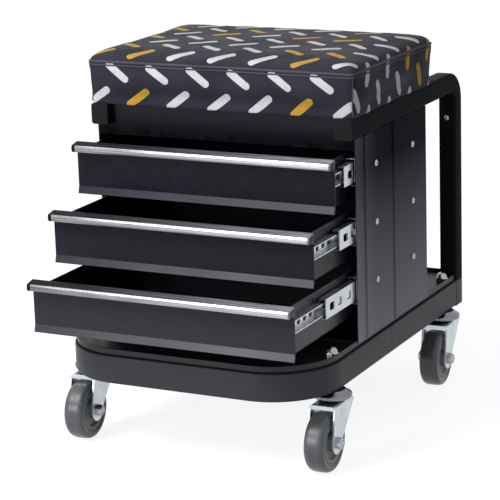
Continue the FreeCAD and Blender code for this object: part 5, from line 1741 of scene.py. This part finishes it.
    @staticmethod
    def cord(surface: Surface, tree: BVHTree, path: Array, radius: float, lift: float, closed: bool) -> None:
        """One round cord on the cover. A closed one is evened out along its path.

        Args:
            surface: gathers the cord.
            tree: the cover's search tree.
            path: where the cord runs.
            radius: its radius.
            lift: share of the radius that stands proud of the cover.
            closed: whether the path closes.
        """
        found = [tree.find_nearest(Vector(point)) for point in path]
        spots, normals = (np.array([hit[part] for hit in found]) for part in range(2))
        for _ in range(4 if closed else 0):
            spots, normals = ((np.roll(rows, 1, 0) + 2 * rows + np.roll(rows, -1, 0)) / 4
                              for rows in (spots, normals))
        normals = unit(normals)
        spots = spots + normals * radius * lift
        ahead = (np.roll(spots, -1, 0) - np.roll(spots, 1, 0)) if closed else np.gradient(spots, axis=0)
        tangent = unit(ahead)
        side = unit(np.cross(tangent, normals))
        grid = carry(radius * circle(12), spots, side, np.cross(side, tangent))
        surface.grid(grid, closed_u=closed, closed_v=True)
        if not closed:
            surface.cap(grid[0]).cap(grid[-1])


@dataclass
class Studio:
    """Floor, lamps, white surroundings and the camera."""

    azimuth: float = 26.84
    elevation: float = 14.58
    roll: float = -1.78
    lens: float = 153.97
    eye: Triple = (1.1159, -2.2210, 0.8523)
    world_light: float = 0.32
    floor_reach: float = 30.0

    def build(self) -> None:
        """Builds the studio round the seat."""
        self.floor()
        self.lamp("key lamp", (-0.9, -1.6, 2.2), (0, 0, 0.25), (1.2, 1.2), 44)
        self.lamp("low lamp", (-0.8, -2.08, 0.64), (0, 0, 0.2), (0.4, 0.6), 14)
        self.world()
        self.camera()
        bpy.context.scene.view_settings.view_transform = "Standard"

    def floor(self) -> None:
        """Large floor, whose glow doesn't light the seat."""
        span = np.linspace(-self.floor_reach, self.floor_reach, 3)
        x, y = np.meshgrid(span, span, indexing="ij")
        floor = placed("floor", Surface().grid(np.stack([x, y, np.zeros_like(x)], -1)).mesh("floor"))
        paper = Finishes.floor.material()
        paper.cycles.emission_sampling = "NONE"
        floor.data.materials.append(paper)

    @staticmethod
    def lamp(name: str, place: Triple, aim: Triple, size: tuple[float, float], power: float) -> None:
        """Rectangular soft lamp.

        Args:
            name: its name.
            place: where it stands.
            aim: the point it looks at.
            size: width and height.
            power: in watts.
        """
        data = bpy.data.lights.new(name, "AREA")
        data.shape = "RECTANGLE"
        data.size, data.size_y = size
        data.energy = power
        lamp = placed(name, data)
        lamp.location = place
        lamp.rotation_euler = (Vector(aim) - Vector(place)).to_track_quat("-Z", "Y").to_euler()

    def world(self) -> None:
        """White where it is seen or mirrored, and a plain level of light elsewhere."""
        world = bpy.data.worlds.new("studio")
        bpy.context.scene.world = world
        world.use_nodes = True
        graph = Graph(world.node_tree)
        back = world.node_tree.nodes["Background"]
        graph.feed(back.inputs["Strength"], graph.spread(graph.seen(), 0.0, 1.0, self.world_light, 1.0))
        graph.feed(back.inputs["Color"], (1.0, 1.0, 1.0))

    def camera(self) -> None:
        """Camera that looks as the photograph does.

        Its back axis comes from azimuth and elevation. Right and up are then turned by the roll.
        """
        azimuth, elevation, roll = (math.radians(a) for a in (self.azimuth, self.elevation, self.roll))
        back = Vector((math.sin(azimuth) * math.cos(elevation), -math.cos(azimuth) * math.cos(elevation),
                       math.sin(elevation)))
        right = Vector((math.cos(azimuth), math.sin(azimuth), 0))
        up = back.cross(right)
        turned_right = right * math.cos(roll) + up * math.sin(roll)
        turned_up = up * math.cos(roll) - right * math.sin(roll)
        data = bpy.data.cameras.new("camera")
        data.lens = self.lens
        data.sensor_width = 36
        camera = placed("camera", data)
        rotation = Matrix((turned_right, turned_up, back)).transposed().to_4x4()
        camera.matrix_world = Matrix.Translation(Vector(self.eye)) @ rotation
        bpy.context.scene.camera = camera


def main() -> None:
    """Builds every sub-assembly."""
    logging.basicConfig(level=logging.INFO, format="%(name)s: %(message)s")
    TubeFrame().build()
    Cabinet().build()
    for row in Row:
        Drawer(row).build()
    for corner in Corner:
        Caster(corner).build()
    CasterMounts().build()
    Seat().build()
    Studio().build()


if __name__ == "__main__":
    main()
